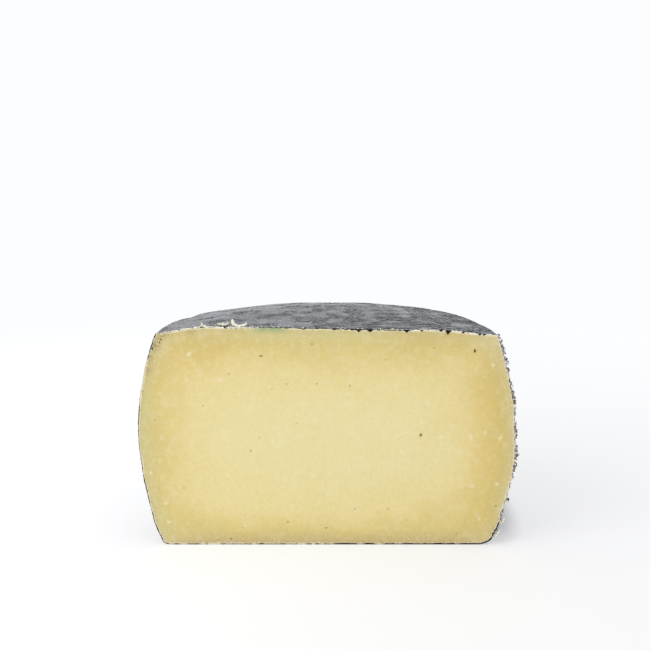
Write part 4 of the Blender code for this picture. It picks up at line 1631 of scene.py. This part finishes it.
def grains_group():
    """Small uneven spots, one in each chosen cell of a Voronoi pattern."""
    group, given, result = effect(
        "grains", [("Scale", 500.0), ("Size", 0.3), ("Share", 0.2), ("Seed", 0.0)], ["Mask"]
    )
    place = here(group)
    wobble = noise_at(group, place, given.outputs["Scale"], 1.0, "Color")
    scaled = add_node(
        group, "VectorMath", {0: place, "Scale": given.outputs["Scale"]}, operation="SCALE"
    ).outputs[0]
    moved = add_node(
        group, "VectorMath", {0: wobble, 1: (0.55, 0.55, 0.55), 2: scaled}, operation="MULTIPLY_ADD"
    ).outputs[0]
    cells = add_node(
        group,
        "TexVoronoi",
        {"Vector": moved, "W": given.outputs["Seed"], "Scale": 1.0},
        voronoi_dimensions="4D",
    )
    draw = add_node(group, "SeparateColor", {0: cells.outputs["Color"]})
    chosen = maths(group, "LESS_THAN", draw.outputs[0], given.outputs["Share"])
    shrink = ease(group, draw.outputs[1], 0.0, 1.0, 0.5, 1.0)
    own_size = maths(group, "MULTIPLY", given.outputs["Size"], shrink)
    inner = maths(group, "MULTIPLY", own_size, 0.45)
    spot = ease(group, cells.outputs["Distance"], inner, own_size, 1.0, 0.0)
    group.links.new(maths(group, "MULTIPLY", spot, chosen), result.inputs["Mask"])
    return group


def fine_relief_group():
    """Fine unevenness for a Bump node: a coarse and a fine noise."""
    group, given, result = effect(
        "fine_relief", [("Scale", 1500.0), ("Fine share", 0.4)], ["Height"]
    )
    place = here(group)
    coarse = noise_at(group, place, given.outputs["Scale"], 4.0)
    finer = maths(group, "MULTIPLY", given.outputs["Scale"], 3.7)
    fine = noise_at(group, place, finer, 2.0)
    part = maths(group, "MULTIPLY", fine, given.outputs["Fine share"])
    group.links.new(maths(group, "ADD", coarse, part), result.inputs["Height"])
    return group


def worn_group():
    """Where a surface is worn: close to an edge, and broken up by noise."""
    group, given, result = effect(
        "worn", [("Distance", 1.0), ("Reach", 0.002), ("Scale", 400.0), ("Amount", 0.5)], ["Mask"]
    )
    place = here(group)
    broken = noise_at(group, place, given.outputs["Scale"], 5.0)
    near = ease(group, given.outputs["Distance"], 0.0, given.outputs["Reach"], 1.0, 0.0)
    pushed = maths(group, "MULTIPLY", near, given.outputs["Amount"])
    total = maths(group, "ADD", maths(group, "MULTIPLY", broken, near), pushed)
    group.links.new(ease(group, total, 0.72, 0.92), result.inputs["Mask"])
    return group


SOFT_PATCHES, GRAINS = soft_patches_group(), grains_group()
FINE_RELIEF, WORN = fine_relief_group(), worn_group()
print("Shader groups:", [group.name for group in bpy.data.node_groups])

# %% [markdown]
# ## The paste
# Cut pecorino is pale straw in the middle. Towards the coat it turns ochre, and right under
# the coat it is drier, duller and a little green. So the colour is a ramp over the distance
# from the coat, and noise moves that distance a little, because ripening is uneven. Over it
# lie cloudy patches, fine white grains, the crystals and the mould under the top edge, and the
# eyes are darkened to brown as painted shade. A little light passes through cheese, so the
# shader scatters it.

# %% The paste's material
PASTE_DEPTH = 0.038
PASTE_COLOURS = (
    (0.0000, shade(206, 193, 136)),
    (0.0035, shade(213, 199, 137)),
    (0.0090, shade(218, 200, 127)),
    (0.0150, shade(226, 207, 137)),
    (0.0235, shade(233, 216, 152)),
    (0.0380, shade(235, 222, 164)),
)
UNEVEN_RIPENING = 0.0030
CREAM = shade(244, 236, 206)
LINE_CREAM = shade(236, 226, 192)
LINE_PINK = shade(228, 208, 180)
MOULD_GREEN = shade(150, 173, 124)
WARM_TINT = shade(253, 247, 235)
GRAIN_TINT = shade(247, 243, 231)
EYE_SHADE_BROWN = shade(84, 68, 34)
BASE_TINT = shade(240, 226, 222)
STAIN_TINT = shade(204, 196, 186)


def principled(name):
    """A new material, its node tree and its Principled shader."""
    made = bpy.data.materials.new(name)
    made.use_nodes = True
    return made, made.node_tree, made.node_tree.nodes["Principled BSDF"]


def set_bump(tree, shader, height, distance, strength):
    """Fine relief on a shader, from a height."""
    bump = add_node(tree, "Bump", {"Height": height, "Distance": distance, "Strength": strength})
    tree.links.new(bump.outputs["Normal"], shader.inputs["Normal"])


def let_light_in(shader, weight, scale):
    """Light goes a little way into paste, and red light the furthest."""
    shader.inputs["Subsurface Weight"].default_value = weight
    shader.inputs["Subsurface Radius"].default_value = (1.0, 0.6, 0.25)
    shader.inputs["Subsurface Scale"].default_value = scale


def depth_colour(tree):
    """The paste's colour by its distance from the coat."""
    measured = measure(tree, "ripening")
    clouds = noise_at(tree, here(tree), 55.0, 3.0)
    shift = ease(tree, clouds, 0.25, 0.75, -UNEVEN_RIPENING, UNEVEN_RIPENING)
    moved = maths(tree, "MULTIPLY", shift, ease(tree, measured, 0.0, 0.012))
    depth = maths(tree, "ADD", measured, moved)
    stops = [(depth_here / PASTE_DEPTH, colour) for depth_here, colour in PASTE_COLOURS]
    return colour_ramp(tree, maths(tree, "DIVIDE", depth, PASTE_DEPTH), stops)


def faded(tree, mask, share):
    """A mask at part of its strength."""
    return maths(tree, "MULTIPLY", mask, share)


def paste_material():
    """The cut paste, coloured by depth and then by what lies in it and on it."""
    made, tree, shader = principled("pecorino_paste")
    colour = depth_colour(tree)
    colour = mix(tree, measure(tree, "by_base"), colour, BASE_TINT, "MULTIPLY")
    colour = mix(tree, measure(tree, "warm"), colour, WARM_TINT, "MULTIPLY")
    grain = use(tree, SOFT_PATCHES, Scale=850.0, Cover=0.5, Softness=0.16, Seed=8.0)
    colour = mix(tree, faded(tree, grain, 0.45), colour, GRAIN_TINT, "MULTIPLY")
    patches = use(tree, SOFT_PATCHES, Scale=330.0, Cover=0.42, Softness=0.16, Seed=1.0)
    colour = mix(tree, faded(tree, patches, 0.17), colour, CREAM)
    grains = use(tree, GRAINS, Scale=620.0, Size=0.42, Share=0.14, Seed=2.0)
    colour = mix(tree, faded(tree, grains, 0.26), colour, CREAM)
    by_coat = ease(tree, measure(tree, "from_coat"), 0.001, 0.010, 0.5, 0.0)
    dry_grains = use(tree, GRAINS, Scale=900.0, Size=0.45, Share=0.24, Seed=4.0)
    colour = mix(tree, maths(tree, "MULTIPLY", dry_grains, by_coat), colour, CREAM)
    colour = mix(tree, faded(tree, measure(tree, "crystal"), 0.56), colour, CREAM)
    frost_grains = use(tree, SOFT_PATCHES, Scale=800.0, Cover=0.42, Softness=0.10, Seed=5.0)
    frost_clouds = ease(tree, frost_grains, 0.0, 1.0, 0.35, 1.0)
    frosted = maths(tree, "MULTIPLY", frost_clouds, measure(tree, "frost"))
    colour = mix(tree, faded(tree, frosted, 0.55), colour, CREAM)
    stains = use(tree, SOFT_PATCHES, Scale=760.0, Cover=0.55, Softness=0.12, Seed=6.0)
    stained = maths(tree, "MULTIPLY", stains, measure(tree, "stain"))
    colour = mix(tree, stained, colour, STAIN_TINT, "MULTIPLY")
    line = use(
        tree, WORN, Distance=measure(tree, "from_coat"), Reach=0.0036, Scale=700.0, Amount=0.48
    )
    tint = use(tree, SOFT_PATCHES, Scale=75.0, Cover=0.42, Softness=0.1, Seed=9.0)
    line_colour = mix(tree, tint, LINE_CREAM, LINE_PINK)
    colour = mix(tree, faded(tree, line, 0.85), colour, line_colour)
    mould_clouds = use(tree, SOFT_PATCHES, Scale=260.0, Cover=0.68, Softness=0.25, Seed=7.0)
    mouldy = maths(tree, "MULTIPLY", measure(tree, "mould"), mould_clouds)
    colour = mix(tree, mouldy, colour, MOULD_GREEN)
    # Painted shade: the eyes' pits and their rims are darkened to brown
    colour = mix(tree, measure(tree, "eye"), colour, EYE_SHADE_BROWN)
    tree.links.new(colour, shader.inputs["Base Color"])
    gloss = use(tree, SOFT_PATCHES, Scale=240.0, Cover=0.5, Softness=0.3, Seed=3.0)
    tree.links.new(ease(tree, gloss, 0.0, 1.0, 0.46, 0.58), shader.inputs["Roughness"])
    set_bump(tree, shader, use(tree, FINE_RELIEF, Scale=1100.0, Fine_share=0.5), 0.00006, 0.5)
    let_light_in(shader, 0.18, 0.003)
    return made


PASTE = paste_material()
print("The paste has", len(PASTE.node_tree.nodes), "nodes")

# %% [markdown]
# ## The coat
# The coat is charcoal black and half matt. At a low angle it shines bluish grey, and that
# needs no colour: any smooth dark surface does it where the light skims over it. The side is a
# little glossier and browner than the top. Handling has worn the rim to brown, and fine pale
# dust and specks of cheese cling to it.

# %% The coat's material
COAT_BLACK = shade(10, 10, 12)
COAT_GREY = shade(21, 21, 23)
COAT_OLIVE = shade(33, 28, 18)
COAT_WORN = shade(84, 70, 54)
SPECK_PALE = shade(190, 186, 176)
DUST_GREY = shade(92, 92, 96)


def coat_material(name, smoothest, roughest, specular):
    """The black coat, with how rough it is and how strongly it shines."""
    made, tree, shader = principled(name)
    patches = use(tree, SOFT_PATCHES, Scale=120.0, Cover=0.5, Softness=0.25, Seed=11.0)
    colour = mix(tree, patches, COAT_BLACK, COAT_GREY)
    olive = use(tree, SOFT_PATCHES, Scale=32.0, Cover=0.5, Softness=0.22, Seed=12.0)
    on_side = maths(tree, "MULTIPLY", olive, measure(tree, "down_side"))
    colour = mix(tree, faded(tree, on_side, 0.55), colour, COAT_OLIVE)
    dust = use(tree, SOFT_PATCHES, Scale=700.0, Cover=0.40, Softness=0.12, Seed=13.0)
    dusty = use(tree, SOFT_PATCHES, Scale=26.0, Cover=0.42, Softness=0.14, Seed=14.0)
    dusted = maths(tree, "MULTIPLY", dust, dusty)
    colour = mix(tree, faded(tree, dusted, 0.25), colour, DUST_GREY)
    rim_wear = use(
        tree, WORN, Distance=measure(tree, "from_rim"), Reach=0.0028, Scale=420.0, Amount=0.36
    )
    foot_wear = use(
        tree, WORN, Distance=measure(tree, "from_foot"), Reach=0.0040, Scale=380.0, Amount=0.30
    )
    handled = use(tree, SOFT_PATCHES, Scale=19.0, Cover=0.48, Softness=0.12, Seed=17.0)
    worn = maths(tree, "MULTIPLY", maths(tree, "MAXIMUM", rim_wear, foot_wear), handled)
    colour = mix(tree, faded(tree, worn, 0.60), colour, COAT_WORN)
    specks = use(tree, GRAINS, Scale=260.0, Size=0.13, Share=0.055, Seed=15.0)
    colour = mix(tree, specks, colour, SPECK_PALE)
    tree.links.new(colour, shader.inputs["Base Color"])
    uneven_gloss = use(tree, SOFT_PATCHES, Scale=160.0, Cover=0.5, Softness=0.3, Seed=16.0)
    gloss = ease(tree, uneven_gloss, 0.0, 1.0, smoothest, roughest)
    gloss = maths(tree, "SUBTRACT", gloss, faded(tree, measure(tree, "down_side"), 0.04))
    gloss = maths(tree, "ADD", gloss, faded(tree, worn, 0.22))
    tree.links.new(gloss, shader.inputs["Roughness"])
    shader.inputs["Specular IOR Level"].default_value = specular
    set_bump(tree, shader, use(tree, FINE_RELIEF, Scale=1400.0, Fine_share=0.45), 0.00010, 0.6)
    return made


COAT = coat_material("black_coat", 0.25, 0.33, 0.20)
CUT_COAT = coat_material("cut_coat", 0.60, 0.75, 0.10)
print("The coat has", len(COAT.node_tree.nodes), "nodes")

# %% [markdown]
# ## Crumbs and torn coat
# A crumb is the same paste, drier and whiter, and some crumbs are tinged pink or yellow. Torn
# coat is black outside and shows a grey, fibrous inside where it is folded open. Both
# materials take a draw for each lump from the mesh, so that no two neighbours look alike.

# %% The crumbs' materials
CRUMB_WHITE = shade(251, 245, 224)
CRUMB_YELLOW = shade(236, 220, 172)
CRUMB_PINK = shade(232, 206, 180)
TORN_COLOURS = (
    (0.00, shade(24, 23, 24)),
    (0.38, shade(34, 32, 32)),
    (0.50, shade(96, 92, 86)),
    (0.62, shade(160, 154, 142)),
    (0.74, shade(226, 216, 190)),
    (1.00, shade(240, 232, 208)),
)


def crumb_material():
    """Dry paste in crumbs, the lip and shavings."""
    made, tree, shader = principled("paste_crumb")
    which = measure(tree, "which")
    colour = mix(tree, ease(tree, which, 0.35, 0.85), CRUMB_WHITE, CRUMB_YELLOW)
    colour = mix(tree, ease(tree, which, 0.90, 0.94), colour, CRUMB_PINK)
    patches = use(tree, SOFT_PATCHES, Scale=1400.0, Cover=0.5, Softness=0.2, Seed=21.0)
    colour = mix(tree, faded(tree, patches, 0.35), colour, CREAM)
    tree.links.new(colour, shader.inputs["Base Color"])
    tree.links.new(ease(tree, patches, 0.0, 1.0, 0.50, 0.68), shader.inputs["Roughness"])
    set_bump(tree, shader, use(tree, FINE_RELIEF, Scale=2600.0, Fine_share=0.5), 0.00008, 0.7)
    let_light_in(shader, 0.15, 0.002)
    return made


def torn_material():
    """Torn coat, black to pale by each flake's draw."""
    made, tree, shader = principled("torn_coat")
    colour = colour_ramp(tree, measure(tree, "which"), TORN_COLOURS)
    spots = use(tree, SOFT_PATCHES, Scale=1500.0, Cover=0.42, Softness=0.10, Seed=22.0)
    mixed = mix(tree, faded(tree, spots, 0.45), colour, SPECK_PALE)
    tree.links.new(mixed, shader.inputs["Base Color"])
    tree.links.new(ease(tree, spots, 0.0, 1.0, 0.45, 0.75), shader.inputs["Roughness"])
    set_bump(tree, shader, use(tree, FINE_RELIEF, Scale=2600.0, Fine_share=0.5), 0.00010, 0.8)
    return made


CRUMB, TORN = crumb_material(), torn_material()
for look, slot, pieces in (
    (PASTE, "paste", (cut_face,)),
    (COAT, "rind", (rind_top, rind_right, rind_left, rind_base)),
    (CUT_COAT, "rind", (coat_edge,)),
    (TORN, "rind", (torn_coat,)),
    (CRUMB, "paste", (paste_lip, edge_crumbs, coat_flecks, shavings)),
):
    for piece in pieces:
        dress(piece, look)

# %% [markdown]
# ## Floor, light and camera
# The picture is high key: a white table under broad soft light that comes more from the left.
# The world lights everything evenly. A large lamp, high on the left, shapes the cut face, and
# a broad one behind the cheese gives the coated top its bluish sheen. The table glows a little,
# which keeps its shadows as pale as in an overexposed picture, and it turns into the white of
# the room a short way behind the cheese. Its glow is partly painted light: it glows more on the
# left, as if lit more from that side. Beside the +X foot, where the belly hangs over the table,
# its colour and glow are darkened into a painted shadow, so that the cheese stands on it firmly.

# %% The floor
FLOOR_REACH = 6.0
# Painted light: the table glows more on the -X side, as if lit more from the left
FLOOR_GLOW_LEFT = 0.62
FLOOR_GLOW_RIGHT = 0.53
GLOW_TURNS = (-0.20, 0.14)
FLOOR_WHITE = (0.46, 0.46, 0.46, 1.0)
FLOOR_GREY = (0.445, 0.445, 0.45, 1.0)
ROOM_WHITE = shade(252, 253, 255)
FADE_CENTRE = (0.0, -0.30, 0.0)
FADE_START = 0.45
FADE_END = 0.90
# The painted shadow beside the +X foot: its centre, its reach along X and Y, how its reach grows
# towards the cheese, between which shares of the reach it fades, and the light left in it
PAINTED_SHADE_CENTRE = (AXIS_X + 0.0925, CUT_Y + 0.050, 0.0)
PAINTED_SHADE_REACH = (0.0145, 0.042, 1.0)
PAINTED_SHADE_TOWARDS_CHEESE = (-0.25, 1.0, 1.0)
PAINTED_SHADE_SPAN = (0.20, 1.45)
PAINTED_SHADE_LEFT = 0.42


def floor_material():
    """The table: white and glowing near the cheese, with painted light and shade, and room white
    beyond.
    """
    made, tree, shader = principled("white_table")
    place = here(tree)
    away = vector_maths(tree, "DISTANCE", place, FADE_CENTRE, "Value")
    near = ease(tree, away, FADE_START, FADE_END, 1.0, 0.0)
    clouds = use(tree, SOFT_PATCHES, Scale=6.0, Cover=0.5, Softness=0.4, Seed=31.0)
    colour = mix(tree, clouds, FLOOR_GREY, FLOOR_WHITE)
    black = (0.0, 0.0, 0.0, 1.0)
    # Painted shadow: beside the +X foot the table's colour and glow are darkened
    from_painted_shade = vector_maths(tree, "SUBTRACT", place, PAINTED_SHADE_CENTRE)
    scaled = vector_maths(tree, "DIVIDE", from_painted_shade, PAINTED_SHADE_REACH)
    tail = vector_maths(tree, "MULTIPLY", scaled, PAINTED_SHADE_TOWARDS_CHEESE)
    longer = vector_maths(tree, "MAXIMUM", scaled, tail)
    off_centre = vector_maths(tree, "LENGTH", longer, output="Value")
    painted_shade_factor = ease(tree, off_centre, *PAINTED_SHADE_SPAN, PAINTED_SHADE_LEFT, 1.0)
    lit = maths(tree, "MULTIPLY", near, painted_shade_factor)
    tree.links.new(mix(tree, lit, black, colour), shader.inputs["Base Color"])
    # Painted light: the glow eases from the -X side's strength to the +X side's
    across = add_node(tree, "SeparateXYZ", {0: place}).outputs["X"]
    glow = ease(tree, across, *GLOW_TURNS, FLOOR_GLOW_LEFT, FLOOR_GLOW_RIGHT)
    glow = maths(tree, "MULTIPLY", glow, painted_shade_factor)
    glow_near = add_node(tree, "CombineColor", {0: glow, 1: glow, 2: glow}).outputs[0]
    tree.links.new(mix(tree, near, ROOM_WHITE, glow_near), shader.inputs["Emission Color"])
    shader.inputs["Emission Strength"].default_value = 1.0
    shader.inputs["Roughness"].default_value = 0.8
    tree.links.new(faded(tree, near, 0.1), shader.inputs["Specular IOR Level"])
    return made


floor = new_piece(
    "floor",
    [(x * FLOOR_REACH, y * FLOOR_REACH, 0.0) for y in (-1, 1) for x in (-1, 1)],
    grid_faces(1, 1),
)
floor.data.materials.append(floor_material())
floor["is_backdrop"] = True

# %% The world and the lamps
WORLD_LIGHT = (0.95, 0.965, 1.0, 1.0)
WORLD_LIGHT_STRENGTH = 0.80


def make_world():
    """White to the camera, and dimmer as a light, so that the lamps can shape the cheese."""
    world = bpy.data.worlds.new("white_room")
    world.use_nodes = True
    tree = world.node_tree
    tree.nodes.clear()
    lit = add_node(tree, "Background", {"Color": WORLD_LIGHT, "Strength": WORLD_LIGHT_STRENGTH})
    seen = add_node(tree, "Background", {"Color": ROOM_WHITE, "Strength": 1.0})
    ray = add_node(tree, "LightPath").outputs["Is Camera Ray"]
    both = add_node(tree, "MixShader", {0: ray, 1: lit.outputs[0], 2: seen.outputs[0]})
    add_node(tree, "OutputWorld", {"Surface": both.outputs[0]})
    bpy.context.scene.world = world


def add_lamp(name, place, target, size, power, colour):
    """An area lamp, so wide and so high, that faces a target."""
    data = bpy.data.lights.new(name, "AREA")
    data.shape = "RECTANGLE"
    data.size, data.size_y = size
    data.energy = power
    data.color = colour
    lamp = in_scene(name, data)
    lamp.location = place
    lamp.rotation_euler = (Vector(target) - Vector(place)).to_track_quat("-Z", "Y").to_euler()
    lamp.visible_camera = False


make_world()
add_lamp("key", (-1.15, -0.80, 1.05), (0.0, 0.0, 0.05), (1.1, 1.1), 8.5, (1.0, 0.99, 0.96))
add_lamp("back", (0.30, 1.60, 0.38), (0.0, 0.0, 0.08), (2.2, 0.45), 3.5, (0.90, 0.93, 1.0))

# %% The camera
LENS = 60.0
SENSOR = 36.0
LOOK_DOWN = 12.0
CAMERA_BACK = 0.5472
CAMERA_HEIGHT = 0.2373
CAMERA_ASIDE = -0.00075

camera_data = bpy.data.cameras.new("camera")
camera_data.lens = LENS
camera_data.sensor_width = SENSOR
camera = in_scene("camera", camera_data)
camera.location = (AXIS_X + CAMERA_ASIDE, CUT_Y - CAMERA_BACK, CAMERA_HEIGHT)
camera.rotation_euler = (math.radians(90.0 - LOOK_DOWN), 0.0, 0.0)
bpy.context.scene.camera = camera
bpy.context.scene.view_settings.view_transform = "Standard"

# %% [markdown]
# ## The size of the dressed model
# The dressed model has to stay inside the solid's box. Both boxes are written down, so that
# they can be compared after each change.

# %% Both boxes
low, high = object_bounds()
print("The dressed model measures", [round(size, 4) for size in high - low], "m")
